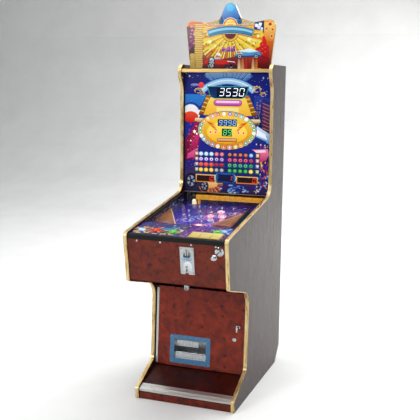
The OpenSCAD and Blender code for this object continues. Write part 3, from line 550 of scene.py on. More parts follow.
def turned_shape(profile, datum, a, b, segments=40):
    """Mesh data of a profile of (radius, height) spun about the datum's n at (a, b)."""
    points, faces = [], []
    rings = []
    for r, h in profile:
        if r < 1e-6:
            rings.append([len(points)])
            points.append(datum.at(a, b, h))
            continue
        rings.append(list(range(len(points), len(points) + segments)))
        for i in range(segments):
            t = 2 * math.pi * i / segments
            points.append(datum.at(a + r * math.cos(t), b + r * math.sin(t), h))
    for low, high in zip(rings, rings[1:]):
        for i in range(segments):
            j = (i + 1) % segments
            if len(low) == 1 and len(high) == 1:
                continue
            if len(low) == 1:
                faces.append((low[0], high[i], high[j]))
            elif len(high) == 1:
                faces.append((low[i], low[j], high[0]))
            else:
                faces.append((low[i], low[j], high[j], high[i]))
    return points, faces


def gathered(name, parts, material, smooth=True, edge_angle=35.0):
    """One mesh from lists of (points, faces), welded, facing outwards."""
    mesh = bpy.data.meshes.new(name)
    shape = bmesh.new()
    for points, faces in parts:
        made = [shape.verts.new(p) for p in points]
        for face in faces:
            shape.faces.new([made[i] for i in face])
    bmesh.ops.remove_doubles(shape, verts=shape.verts, dist=1e-7)
    bmesh.ops.recalc_face_normals(shape, faces=shape.faces)
    shape.to_mesh(mesh)
    shape.free()
    mesh.materials.append(material)
    if smooth:
        mesh.shade_smooth()
        mesh.set_sharp_from_angle(angle=math.radians(edge_angle))
    return mesh


def brick(datum, a0, b0, n0, a1, b1, n1, soft=0.6):
    """Block with its edges cut back by soft millimetres."""
    shape = bmesh.new()
    corners = [(a, b, n) for n in (n0, n1) for b in (b0, b1) for a in (a0, a1)]
    made = [shape.verts.new(datum.at(*c)) for c in corners]
    for face in ((0, 2, 3, 1), (4, 5, 7, 6), (0, 1, 5, 4), (2, 6, 7, 3), (0, 4, 6, 2), (1, 3, 7, 5)):
        shape.faces.new([made[i] for i in face])
    bmesh.ops.recalc_face_normals(shape, faces=shape.faces)
    if soft:
        bmesh.ops.bevel(
            shape, geom=shape.edges[:], offset=soft * MM, segments=2, profile=0.6, affect="EDGES"
        )
    shape.verts.ensure_lookup_table()
    points = [v.co.copy() for v in shape.verts]
    index = {v: i for i, v in enumerate(shape.verts)}
    faces = [tuple(index[v] for v in f.verts) for f in shape.faces]
    shape.free()
    return points, faces


def tube(points, radius, sides=10):
    """Mesh data of a round bar along points that are already in metres."""
    verts, faces, rings = [], [], []
    for i, p in enumerate(points):
        ahead = points[min(i + 1, len(points) - 1)] - points[max(i - 1, 0)]
        side = ahead.orthogonal().normalized() if i == 0 else (side - side.project(ahead)).normalized()
        up = ahead.normalized().cross(side)
        rings.append(list(range(len(verts), len(verts) + sides)))
        for k in range(sides):
            t = 2 * math.pi * k / sides
            verts.append(p + (side * math.cos(t) + up * math.sin(t)) * radius * MM)
    for low, high in zip(rings, rings[1:]):
        for k in range(sides):
            faces.append((low[k], low[(k + 1) % sides], high[(k + 1) % sides], high[k]))
    faces.append(tuple(reversed(rings[0])))
    faces.append(tuple(rings[-1]))
    return verts, faces


# ---------------------------------------------------------------- repeated fittings

def screw_tree():
    """Geometry Nodes: a cross-recessed dome head on every point, facing along Out."""
    tree = bpy.data.node_groups.new("cross_head_screws", "GeometryNodeTree")
    face = tree.interface
    face.new_socket("Points", in_out="INPUT", socket_type="NodeSocketGeometry")
    for name, value in (("Head Diameter", 8.0 * MM), ("Head Height", 2.4 * MM), ("Recess Width", 1.0 * MM)):
        socket = face.new_socket(name, in_out="INPUT", socket_type="NodeSocketFloat")
        socket.default_value = value
    face.new_socket("Finish", in_out="INPUT", socket_type="NodeSocketMaterial")
    face.new_socket("Screws", in_out="OUTPUT", socket_type="NodeSocketGeometry")
    given = add(tree, "NodeGroupInput")
    radius = add(tree, "ShaderNodeMath", {0: given.outputs["Head Diameter"], 1: 0.5}, operation="MULTIPLY")
    ball = add(tree, "GeometryNodeMeshUVSphere", {"Segments": 20, "Rings": 10, "Radius": radius.outputs[0]})
    squash = add(
        tree, "ShaderNodeMath", {0: given.outputs["Head Height"], 1: radius.outputs[0]}, operation="DIVIDE"
    )
    scale = add(tree, "ShaderNodeCombineXYZ", {"X": 1.0, "Y": 1.0, "Z": squash.outputs[0]})
    dome = add(tree, "GeometryNodeTransform", {"Geometry": ball.outputs["Mesh"], "Scale": scale.outputs[0]})
    bar = add(tree, "ShaderNodeMath", {0: given.outputs["Head Diameter"], 1: 0.62}, operation="MULTIPLY")
    lift = add(tree, "ShaderNodeCombineXYZ", {"Z": given.outputs["Head Height"]})
    long_way = add(tree, "ShaderNodeCombineXYZ", {
        "X": bar.outputs[0], "Y": given.outputs["Recess Width"], "Z": given.outputs["Head Height"],
    })
    wide_way = add(tree, "ShaderNodeCombineXYZ", {
        "X": given.outputs["Recess Width"], "Y": bar.outputs[0], "Z": given.outputs["Head Height"],
    })
    head = dome.outputs["Geometry"]
    for size in (long_way, wide_way):
        cutter = add(tree, "GeometryNodeMeshCube", {"Size": size.outputs[0]})
        placed = add(
            tree, "GeometryNodeTransform",
            {"Geometry": cutter.outputs["Mesh"], "Translation": lift.outputs[0]}
        )
        cut = add(tree, "GeometryNodeMeshBoolean", {"Mesh 1": head}, operation="DIFFERENCE", solver="EXACT")
        tree.links.new(placed.outputs["Geometry"], cut.inputs["Mesh 2"])
        head = cut.outputs["Mesh"]
    out = add(tree, "GeometryNodeInputNamedAttribute", {"Name": "Out"}, data_type="FLOAT_VECTOR")
    facing = add(tree, "FunctionNodeAlignRotationToVector", {"Vector": out.outputs["Attribute"]}, axis="Z")
    spin = add(tree, "FunctionNodeRandomValue", {2: 0.0, 3: 1.5, "Seed": 4}, data_type="FLOAT")
    about = add(tree, "ShaderNodeCombineXYZ", {"Z": spin.outputs[1]})
    turned = add(tree, "FunctionNodeRotateRotation", {
        "Rotation": facing.outputs["Rotation"], "Rotate By": about.outputs[0],
    }, rotation_space="LOCAL")
    placed = add(tree, "GeometryNodeInstanceOnPoints", {
        "Points": given.outputs["Points"], "Instance": head, "Rotation": turned.outputs["Rotation"],
    })
    solid = add(tree, "GeometryNodeRealizeInstances", {"Geometry": placed.outputs["Instances"]})
    done = add(tree, "GeometryNodeSetMaterial", {
        "Geometry": solid.outputs["Geometry"], "Material": given.outputs["Finish"],
    })
    ending = add(tree, "NodeGroupOutput")
    tree.links.new(done.outputs["Geometry"], ending.inputs["Screws"])
    return tree


def pin_tree():
    """Geometry Nodes: a thin steel stem with a bell cap on every point, facing along Out."""
    tree = bpy.data.node_groups.new("capped_pins", "GeometryNodeTree")
    face = tree.interface
    face.new_socket("Points", in_out="INPUT", socket_type="NodeSocketGeometry")
    for name in ("Cap Width", "Stem Width", "Height"):
        face.new_socket(name, in_out="INPUT", socket_type="NodeSocketFloat")
    for name in ("Cap Finish", "Stem Finish"):
        face.new_socket(name, in_out="INPUT", socket_type="NodeSocketMaterial")
    face.new_socket("Pins", in_out="OUTPUT", socket_type="NodeSocketGeometry")
    given = add(tree, "NodeGroupInput")

    def times(value, share):
        return add(tree, "ShaderNodeMath", {0: value, 1: share}, operation="MULTIPLY").outputs[0]

    def raised(shape, share):
        lift = add(tree, "ShaderNodeCombineXYZ", {"Z": times(given.outputs["Height"], share)})
        return add(
            tree, "GeometryNodeTransform", {"Geometry": shape, "Translation": lift.outputs[0]}
        ).outputs[0]

    stem = add(tree, "GeometryNodeMeshCylinder", {
        "Vertices": 12, "Radius": times(given.outputs["Stem Width"], 0.5), "Depth": given.outputs["Height"],
    })
    bell = add(tree, "GeometryNodeMeshCone", {
        "Vertices": 20, "Radius Top": times(given.outputs["Cap Width"], 0.28),
        "Radius Bottom": times(
            given.outputs["Cap Width"], 0.5
        ), "Depth": times(given.outputs["Height"], 0.3),
    })
    parts = []
    for shape, share, finish in (
        (stem.outputs["Mesh"], 0.49, "Stem Finish"), (bell.outputs["Mesh"], 0.7, "Cap Finish")
    ):
        parts.append(add(tree, "GeometryNodeSetMaterial", {
            "Geometry": raised(shape, share), "Material": given.outputs[finish],
        }).outputs[0])
    both = add(tree, "GeometryNodeJoinGeometry")
    for part in parts:
        tree.links.new(part, both.inputs[0])
    out = add(tree, "GeometryNodeInputNamedAttribute", {"Name": "Out"}, data_type="FLOAT_VECTOR")
    facing = add(tree, "FunctionNodeAlignRotationToVector", {"Vector": out.outputs["Attribute"]}, axis="Z")
    placed = add(tree, "GeometryNodeInstanceOnPoints", {
        "Points": given.outputs["Points"], "Instance": both.outputs[0], "Rotation": facing.outputs["Rotation"],
    })
    solid = add(tree, "GeometryNodeRealizeInstances", {"Geometry": placed.outputs["Instances"]})
    ending = add(tree, "NodeGroupOutput")
    tree.links.new(solid.outputs["Geometry"], ending.inputs["Pins"])
    return tree


def grown_from(tree, name, points, outs, values, body):
    """Runs a tree on a cloud of points and keeps its mesh as one piece on a body."""
    cloud = bpy.data.meshes.new(name + "_points")
    cloud.from_pydata(points, [], [])
    arrows = cloud.attributes.new("Out", "FLOAT_VECTOR", "POINT")
    for item, out in zip(arrows.data, outs):
        item.vector = out
    source = bpy.data.objects.new(name + "_source", cloud)
    bpy.context.scene.collection.objects.link(source)
    modifier = source.modifiers.new("grow", "NODES")
    modifier.node_group = tree
    for item in tree.interface.items_tree:
        if item.item_type == "SOCKET" and item.in_out == "INPUT" and item.name in values:
            modifier[item.identifier] = values[item.name]
    graph = bpy.context.evaluated_depsgraph_get()
    mesh = bpy.data.meshes.new_from_object(source.evaluated_get(graph), depsgraph=graph)
    mesh.name = name
    source.modifiers.remove(modifier)
    bpy.data.objects.remove(source)
    bpy.data.meshes.remove(cloud)
    return finished(name, mesh, body)


# ---------------------------------------------------------------- drawn motifs

def draw_car(sheet, a, b, length, ink, dark, glass, layer, flip=1, wheel="101018", lit=0.0):
    """A low sports car in plain shapes, its nose towards flip."""
    s = length * flip

    def p(points):
        return [(a + x * s, b + y * length) for x, y in points]

    sheet.shape(p([(-0.5, 0.02), (0.5, 0.0), (0.52, 0.08), (0.42, 0.15), (0.12, 0.19), (-0.04, 0.27),
                   (-0.26, 0.27), (-0.42, 0.20), (-0.52, 0.17)]), dark, layer, ink, lit)
    sheet.shape(
        p([(-0.5, 0.09), (0.5, 0.05), (0.44, 0.14), (0.1, 0.18), (-0.44, 0.19)]), ink, layer + 1, None, lit
    )
    sheet.shape(
        p([(0.08, 0.185), (-0.04, 0.255), (-0.24, 0.255), (-0.32, 0.2)]), glass, layer + 1, "F4F8FF", lit
    )
    sheet.shape(p([(0.2, 0.145), (0.44, 0.115), (0.4, 0.14), (0.2, 0.165)]), "FFFFFF", layer + 2, None, lit)
    for x in (-0.32, 0.32):
        for r, colour, k in ((0.095, wheel, 2), (0.062, "C8CCD4", 3), (0.03, wheel, 4)):
            sheet.oval(a + x * s, b + 0.035 * length, r * length, r * length, colour, layer + k, sides=20)


def draw_wheel(sheet, a, b, radius, layer):
    for share, colour, k in (
        (1.0, "0C0E1C", 0), (0.74, "2A3356", 1), (0.66, "A9B4CC", 2), (0.24, "1A2144", 4)
    ):
        sheet.oval(a, b, radius * share * 0.8, radius * share, colour, layer + k, sides=24)
    for k in range(5):
        sheet.ray(a, b, radius * 0.2, radius * 0.62, 72 * k + 20, 72 * k + 52, "1C2548", layer + 3)


def draw_skyline(sheet, a0, a1, base, top, ink, pale, windows, layer, dice, lean=0.0):
    a = a0
    while a < a1:
        wide = dice.uniform(9, 17)
        high = dice.uniform(0.45, 1.0) * (top - base)
        sheet.shape([
            (a, base), (a + wide, base), (a + wide + lean * high, base + high),
            (a + lean * high, base + high)
        ],
                    ink, layer, pale)
        for row in range(int(high / 7)):
            for column in range(int(wide / 5)):
                if dice.random() < 0.6:
                    x = a + 2 + column * 5 + lean * (row * 7 + 3)
                    sheet.block(x, base + 3 + row * 7, x + 2.2, base + 6 + row * 7, windows, layer + 1)
        a += wide + 1.5


def draw_burst(sheet, a, b, r0, r1, count, inks, layer, start=0.0, end=360.0):
    step = (end - start) / count
    for i in range(count):
        sheet.ray(a, b, r0, r1, start + i * step, start + (i + 0.62) * step, inks[i % len(inks)], layer)


def draw_scroll(sheet, a, b, size, layer, flip=1):
    """Gilded leaf scroll beside the top window."""
    for r, w, start, sweep, colour in (
        (1.0, 0.26, -30, 210, "8A5A14"), (0.96, 0.16, -25, 200, "F0C75A"), (0.55, 0.2, 60, 260, "C98F28"),
        (0.5, 0.1, 70, 240, "FFE9A0"),
    ):
        first, last = (start, start + sweep) if flip > 0 else (180 - start - sweep, 180 - start)
        sheet.arc(a, b, r * size, r * size * 0.75, w * size, first, last, colour, layer, steps=12)
        layer += 1
    for k in range(4):
        tilt = 20 + 32 * k
        x = a + flip * math.cos(math.radians(tilt)) * size * 1.25
        y = b + math.sin(math.radians(tilt)) * size * 0.95
        sheet.oval(x, y, size * 0.26, size * 0.16, "E6B64A", layer, top="FFF0B8", sides=10)


def draw_coins(sheet, a, b, count, width, layer):
    """Column of blank gold coins, edge on."""
    for i in range(count):
        shift = (i * 7 % 5 - 2) * 0.9
        y = b + i * width * 0.2
        sheet.pill(a - width / 2 + shift, y, a + width / 2 + shift, y + width * 0.24, "9C5E10", layer)
        sheet.pill(a - width / 2 + shift + 1, y + width * 0.05, a + width / 2 + shift - 1, y + width * 0.2,
                   "F5B52C", layer + 1, "FFE88C")


# ---------------------------------------------------------------- settings

class LightLooks(bpy.types.PropertyGroup):
    """The number on the top display, and how brightly the studio is lit."""

    score: bpy.props.IntProperty(
        name="Score", description="Number on the top display", default=3530, min=0, max=9999)
    studio: bpy.props.FloatProperty(
        name="Studio light", description="Strength of the soft lights round the machine", default=1.0, min=0, max=4)


class FittingSizes(bpy.types.PropertyGroup):
    """Sizes of the small bought-in fittings."""

    screw_head: bpy.props.FloatProperty(
        name="Screw head", description="Diameter of the cross-head screws", unit="LENGTH",
        default=8 * MM, min=4 * MM, max=14 * MM)
    rivet_head: bpy.props.FloatProperty(
        name="Rivet head", description="Diameter of the tray frame's rivets", unit="LENGTH",
        default=5 * MM, min=3 * MM, max=9 * MM)
    mesh_wire: bpy.props.FloatProperty(
        name="Tray mesh wire", description="Thickness of the wire at the back of the token tray", unit="LENGTH",
        default=1.1 * MM, min=0.5 * MM, max=2 * MM)


def lights(context):
    return context.scene.light_looks


def sizes(context):
    return context.scene.fitting_sizes


# ---------------------------------------------------------------- operators

class PACHINKO_OT_studio(bpy.types.Operator):
    """Pale floor, soft light and the camera"""

    bl_idname = "pachinko.studio"
    bl_label = "Studio"

    def execute(self, context):
        level = lights(context).studio
        mesh = bpy.data.meshes.new("floor")
        # a floor that curves up into a backdrop, far behind the machine
        profile = [(-9.0, 0.0), (5.0, 0.0), (6.4, 0.25), (7.4, 1.1), (7.8, 2.4), (7.8, 9.0)]
        rows = [(x, y, z) for y, z in profile for x in (-9.0, 9.0)]
        mesh.from_pydata(
            rows, [], [(2 * i, 2 * i + 1, 2 * i + 3, 2 * i + 2) for i in range(len(profile) - 1)]
        )
        mesh.materials.append(surface("studio_paper", [(0.3, "F3F3F1"), (0.7, "FAFAF8")], 400, (0.85, 0.95)))
        floor = bpy.data.objects.new("floor", mesh)
        context.scene.collection.objects.link(floor)

        # pale overhead, greyer at eye level, so polished metal has something dark to mirror
        world = bpy.data.worlds.new("studio")
        world.use_nodes = True
        tree = world.node_tree
        back = tree.nodes["Background"]
        way = add(tree, "ShaderNodeTexCoord")
        height = add(tree, "ShaderNodeSeparateXYZ", {"Vector": way.outputs["Generated"]})
        sky = add(tree, "ShaderNodeValToRGB", {"Fac": height.outputs["Z"]},
                  stops=[(0.0, "3C3F44"), (0.35, "8A8D92"), (0.8, "F4F6FA")])
        tree.links.new(sky.outputs["Color"], back.inputs["Color"])
        back.inputs["Strength"].default_value = 0.55 * level
        context.scene.world = world
        context.scene.view_settings.view_transform = "Standard"

        soft = (
            ("key", (-2.4, -4.4, 3.0), (0.0, -0.1, 1.0), 2.0, 85),
            ("fill", (2.2, -5.4, 1.6), (0.0, -0.2, 0.8), 1.6, 26),
            ("top", (0.0, 0.2, 5.2), (0.0, 0.2, 0.0), 5.0, 160),
            ("back", (1.5, 4.8, 4.2), (0.0, 2.8, 0.0), 4.0, 250),
        )
        for name, place, aim, size, watts in soft:
            data = bpy.data.lights.new(name, "AREA")
            data.shape, data.size, data.energy = "DISK", size, watts * level
            lamp = bpy.data.objects.new(name, data)
            lamp.location = place
            lamp.rotation_euler = (Vector(aim) - Vector(place)).to_track_quat("-Z", "Y").to_euler()
            context.scene.collection.objects.link(lamp)

        data = bpy.data.cameras.new("camera")
        data.sensor_width, data.lens = 36.0, 65.2
        camera = bpy.data.objects.new("camera", data)
        pan, tilt, roll = (math.radians(v) for v in (19.67, 90 - 9.187, 0.641))
        camera.matrix_world = (
            Matrix.Translation((1.3475, -3.7922, 1.6010))
            @ Matrix.Rotation(pan, 4, "Z") @ Matrix.Rotation(tilt, 4, "X") @ Matrix.Rotation(roll, 4, "Z")
        )
        context.scene.collection.objects.link(camera)
        context.scene.camera = camera
        return {"FINISHED"}


class PACHINKO_OT_finishes(bpy.types.Operator):
    """The finish of every part of the frame"""

    bl_idname = "pachinko.finishes"
    bl_label = "Finishes"

    def execute(self, context):
        FINISH.update(make_finishes())
        slots = {part["node"]: part["material_slot"] for part in frame["record"]["subparts"]}
        for name, node in frame["nodes"].items():
            finish = FINISH[SLOT_FINISH[slots[name]]]
            for item in node.material_slots or [None]:
                if item is None:
                    node.data.materials.append(finish)
                else:
                    item.material = finish
        return {"FINISHED"}


class PACHINKO_OT_head_glass(bpy.types.Operator):
    """Printed and backlit glass of the upright head"""

    bl_idname = "pachinko.head_glass"
    bl_label = "Head glass"

    def execute(self, context):
        art = Sheet(HEAD)
        x0, x1 = GLASS_LOW.x + 1.5, GLASS_HIGH.x - 1.5
        z0, z1 = GLASS_LOW.z + 1.5, GLASS_HIGH.z - 1.5
        art.within([(x0, z0), (x1, z0), (x1, z1), (x0, z1)])
        dice = random.Random(7)
        self.sky(art, x0, x1, z0, z1, dice)
        self.street(art, dice)
        self.tower(art)
        self.top_window(art, context)
        self.ring(art)
        self.tables(art)
        self.low_windows(art)
        art.finish("head_glass_print", "cabinet", "back_art", FINISH["lit_print"])
        return {"FINISHED"}

    def sky(self, art, x0, x1, z0, z1, dice):
        art.block(x0, z0, x1, 1360, "2A1B66", 0, "1D2F9C", lit=0.35)
        art.block(x0, 1360, x1, z1, "1D2F9C", 0, "141C74", lit=0.35)
        # pale burst behind the empty title band
        draw_burst(art, 4, 1560, 60, 175, 34, ("3D77D8", "6FA9EC", "9FD0F8"), 1, 35, 145)
        art.block(-125, 1652, 132, z1, "7DB8EE", 1, "B9DDF8", lit=0.5)
        for radius, wide, ink, layer in (
            (216, 42, "16246E", 2), (219, 36, "5D9FDF", 3), (224, 26, "A6D3F6", 4), (236, 6, "E6F5FF", 5)
        ):
            art.arc(4, 1398, radius, radius, wide, 50, 130, ink, layer, lit=0.5, steps=26)
        for _ in range(70):
            x, z = dice.uniform(x0, x1), dice.uniform(1500, z1)
            size = dice.uniform(1.2, 3.2)
            if abs(x) > 130:
                art.star(
                    x, z, size, dice.choice(("FFFFFF", "BBD9FF", "FFE9A0")), 1, tips=4, waist=0.3, lit=1.0
                )
        art.oval(-152, 1611, 17, 16, "E11B2C", 4, top="FF5A54", lit=0.6)
        art.oval(-190, 1611, 26, 8, "3A3F9E", 3, top="B9BEEA")
        art.star(-222, 1660, 7, "FFFFFF", 2, tips=4, waist=0.22, lit=1.5)
        art.star(206, 1652, 7, "E8F2FF", 2, tips=4, waist=0.22, lit=1.5)
        draw_scroll(art, -168, 1576, 19, 5, -1)
        draw_scroll(art, -140, 1560, 12, 5, -1)
        draw_scroll(art, 168, 1586, 22, 5, 1)
        draw_scroll(art, 205, 1560, 15, 5, 1)

    def street(self, art, dice):
        # left: bright blue sky, a striped ball, a magenta roof and warm lights
        art.shape([(-250, 1430), (-150, 1500), (-120, 1560), (-250, 1560)], "1F4FB4", 1, "2E86DA", 0.3)
        art.oval(-212, 1456, 62, 60, "1B2A7C", 2, lit=0.3)
        art.oval(-214, 1456, 57, 55, "F2F4FA", 3, top="FFFFFF", lit=0.3)
        art.oval(-214, 1433, 46, 32, "C8141E", 4, top="F4512E", lit=0.4)
        art.arc(-214, 1456, 50, 48, 7, 20, 160, "2D56C8", 4)
        art.shape(
            [(-250, 1300), (-180, 1412), (-148, 1396), (-172, 1210), (-250, 1180)], "4A0F3C", 1, "A81A55",
            0.3
        )
        art.shape([(-238, 1230), (-176, 1350), (-160, 1336), (-176, 1246)], "8C1048", 2, "E5367C", 0.4)
        art.shape([(-230, 1226), (-168, 1262), (-172, 1216), (-238, 1194)], "D82878", 3, "F070A8", 0.4)
        for x, z, r in ((-190, 1352, 15), (-176, 1340, 9), (-212, 1300, 8)):
            art.star(x, z, r, "FFD9A0", 4, tips=6, waist=0.35, lit=1.2)
            art.oval(x, z, r * 0.4, r * 0.4, "FFFFFF", 5, lit=1.5)
        for _ in range(60):
            x, z = dice.uniform(-246, -176), dice.uniform(1130, 1400)
            ink = dice.choice(("E8452E", "F0A23A", "A02070", "5A2AA8", "F4D27A", "7A1430"))
            art.shape([
                (x, z), (x + dice.uniform(4, 13), z + dice.uniform(-3, 4)),
                (x + dice.uniform(2, 10), z + dice.uniform(4, 11))
            ],
                      ink, 2, lit=0.3)
        # right: night towers, a pale blue car and a magenta one
        art.shape(
            [(196, 1180), (250, 1180), (250, 1540), (160, 1560), (150, 1440)], "151F6A", 1, "24409E", 0.3
        )
        draw_skyline(art, 150, 236, 1395, 1545, "1A1A54", "3A3FA0", "FFD98A", 2, dice, 0.06)
        art.shape([(186, 1390), (250, 1330), (250, 1520), (206, 1545)], "0F1446", 3, "2A2F86", 0.2)
        for k in range(16):
            z = 1372 + k * 9.5
            art.shape(
                [(206, z), (248, z - 16), (248, z - 12), (206, z + 4)], "C97A3A" if k % 2 else "7A2E4C", 4,
                lit=0.3
            )
        art.shape([(158, 1330), (246, 1296), (248, 1350), (176, 1392)], "4E8FD8", 5, "D7ECFC", 0.5)
        art.shape([(166, 1344), (236, 1318), (226, 1346), (180, 1372)], "DDF0FF", 6, "FFFFFF", 0.6)
        art.shape([(160, 1326), (230, 1298), (232, 1308), (166, 1336)], "1B3C8C", 6)
        for k in range(7):
            art.block(
                160 + k * 12, 1290 - k * 1.2, 166 + k * 12, 1297 - k * 1.2, "F4F4F4" if k % 2 else "14143C",
                5
            )
        art.shape(
            [(148, 1262), (240, 1268), (248, 1238), (232, 1206), (190, 1196), (200, 1236)], "C2225E", 5,
            "F789B0", 0.5
        )
        art.shape([(160, 1258), (226, 1262), (230, 1250), (176, 1244)], "FBC4D6", 6, "FFE7EF", 0.6)
        for _ in range(46):
            x, z = dice.uniform(198, 246), dice.uniform(1100, 1290)
            ink = dice.choice(("F0561E", "F7B23C", "C01E48", "6A34B4", "2F62C8", "FFE08A"))
            art.oval(x, z, dice.uniform(2, 6), dice.uniform(3, 9), ink, 3, sides=7, lit=0.3)
        # bottom strip: wheels, a warm burst, blue spray and city lights
        art.block(-250, 1012, 250, 1072, "2A1650", 1, "3A2274", 0.2)
        art.shape(
            [(-250, 1012), (-120, 1012), (-140, 1120), (-196, 1160), (-250, 1130)], "221A4C", 2, "463078",
            0.2
        )
        draw_burst(art, -92, 1066, 12, 74, 22, ("F07A28", "FFC864", "D8402A"), 3, 200, 380)
        art.oval(-92, 1060, 44, 24, "F6A94A", 4, top="FFE7B0", lit=0.5, sides=18)
        draw_wheel(art, -208, 1072, 46, 5)
        draw_wheel(art, -128, 1046, 32, 5)
        for _ in range(60):
            x, z = dice.gauss(52, 40), dice.gauss(1040, 14)
            art.oval(x, z, dice.uniform(3, 11), dice.uniform(2, 6), dice.choice(("2C5FD0", "5F9BEA", "BFE0FF", "1C3A9C", "8FC4F4")),
                     3 + (z < 1040), sides=9, lit=0.4)
        for _ in range(34):
            x, z = dice.uniform(160, 246), dice.uniform(1016, 1118)
            art.star(
                x, z, dice.uniform(3, 8), dice.choice(("4A70D8", "A0C4F4", "E05A78", "F4D080", "FFFFFF")),
                4, tips=4, waist=0.4, lit=0.5
            )

    def tower(self, art):
        # golden stair that carries the window down to the ring of lamps
        art.shape([(-96, 1545), (-152, 1446), (160, 1446), (108, 1545)], "F0B22C", 4, "FFD95E", 0.6)
        for side in (-1, 1):
            cx = 4
            art.shape([
                (cx + side * 100, 1556), (cx + side * 122, 1556), (cx + side * 172, 1446),
                (cx + side * 142, 1446)
            ],
                      "6A3A12", 5, "C98A2C", 0.3)
            for k in range(9):
                z = 1452 + k * 11.4
                a, b = 144 - k * 4.9, 168 - k * 5.3
                art.shape([
                    (cx + side * a, z), (cx + side * b, z + 5), (cx + side * (b - 1.5), z + 10),
                    (cx + side * (a - 2), z + 5)
                ],
                          "F7CF5E" if k % 2 else "9A5A1A", 6, lit=0.4)
        art.pill(-78, 1498, 88, 1533, "5A1460", 6)
        art.pill(-75, 1501, 85, 1530, "B03A9C", 7, "F08AD0", 0.5)
        art.pill(-62, 1514, 72, 1525, "F6B8E4", 8, "FFE3F6", 0.6)
        art.block(-60, 1446, 70, 1490, "FFDD6A", 5, "FFE99A", 0.5)

    def top_window(self, art, context):
        art.shape([
            (-74, 1538), (84, 1538), (102, 1545), (114, 1560), (129, 1606), (-119, 1606), (-104, 1560),
            (-92, 1545)
        ],
                  "1C7F86", 6, "2AA0A8", 0.3)
        art.shape([
            (-72, 1542), (82, 1542), (98, 1549), (108, 1562), (121, 1602), (-111, 1602), (-98, 1562),
            (-88, 1549)
        ],
                  "060A24", 7, "0C1238")
        art.shape([(-88, 1545), (-60, 1545), (-60, 1602), (-111, 1602)], "0F3C78", 8, "0A1A48", 0.3)
        score = [int(d) for d in f"{lights(context).score:04d}"]
        art.number(score, -50, 104, 1552, 44, "F4F8FF", 9, bar=0.13, lit=2.4, dim="10204C")

    def ring(self, art):
        cx, cz, rx, rz = 2, 1362, 158, 93
        art.shape(
            [(-190, 1412), (-186, 1428), (192, 1428), (196, 1412), (150, 1402), (-146, 1402)], "A86A20", 6,
            "FBE7B0", 0.4
        )
        art.oval(cx, cz, rx + 15, rz + 15, "15306E", 7, top="1E4A9A", sides=56, lit=0.3)
        art.oval(cx, cz, rx + 12, rz + 12, "C77E1C", 8, top="F3C04A", sides=56, lit=0.4)
        art.oval(cx, cz, rx - 12, rz - 12, "D78414", 9, top="F6CD3A", sides=56, lit=0.7)
        art.oval(cx, cz - 10, rx - 40, rz - 32, "F2B21E", 10, top="FFE766", sides=44, lit=0.8)
        # orange wings either side of the middle display
        for side in (-1, 1):
            for k in range(7):
                z = 1398 - k * 6.5
                art.shape([
                    (cx + side * (62 - k), z), (cx + side * (124 - k * 9), z + 17 - k * 2),
                    (cx + side * (112 - k * 10), z + 5 - k * 2)
                ],
                          "C84A14" if k % 2 else "F08A2A", 11, lit=0.5)
        inks = ("2E9E6A", "2F7FC4", "F2C230", "E8F4F0", "D8382E", "2E9E8C", "8A4FC0", "F28A2A",
                "3FB0D8", "E88BB0", "49B04A", "F4EFD8")
        for i in range(28):
            t = 2 * math.pi * (i + 0.5) / 28
            x, z = cx + rx * math.cos(t), cz + rz * math.sin(t)
            ink = inks[(i * 5) % len(inks)]
            art.oval(x, z, 12.6, 12.6, "F6F1DC", 11, top="C9B98A", sides=20, lit=0.6)
            art.oval(x, z, 10.4, 10.4, ink, 12, sides=20, lit=0.7)
            kind = i % 3
            if kind == 0:
                art.star(x, z, 7.4, "FFFFFF", 13, tips=5, lit=1.0)
            elif kind == 1:
                art.oval(x, z, 5.6, 5.6, "FFF6D0", 13, sides=12, lit=1.0)
            else:
                art.star(x, z, 7.6, "FFE27A", 13, tips=4, waist=0.5, lit=1.0)
        art.block(-52, 1386, 61, 1425, "0C1650", 13, "14226C", 0.2)
        art.number([9, 9, 9, 8], -48, 60, 1391, 28, "A8D8FF", 14, bar=0.13, lit=2.0, dim="1A3A8A")
        art.block(-27, 1331, 32, 1373, "062A1C", 13, "0A3A28", 0.2)
        art.number([8, 9], -22, 32, 1336, 31, "7CF48C", 14, bar=0.13, lit=2.0, dim="0C4A30")
        for x in (-94, -64, 70, 100):
            art.oval(x, 1352, 9, 9, "FFF1D8", 12, sides=16, lit=0.6)
            art.oval(x, 1352, 6.6, 6.6, "E0301E", 13, top="FF7A4C", sides=16, lit=0.9)
        art.pill(-56, 1299, 64, 1320, "7A3A14", 13, lit=0.2)
        art.pill(-53, 1302, 61, 1317, "D8682A", 14, "F6D29A", 0.5)

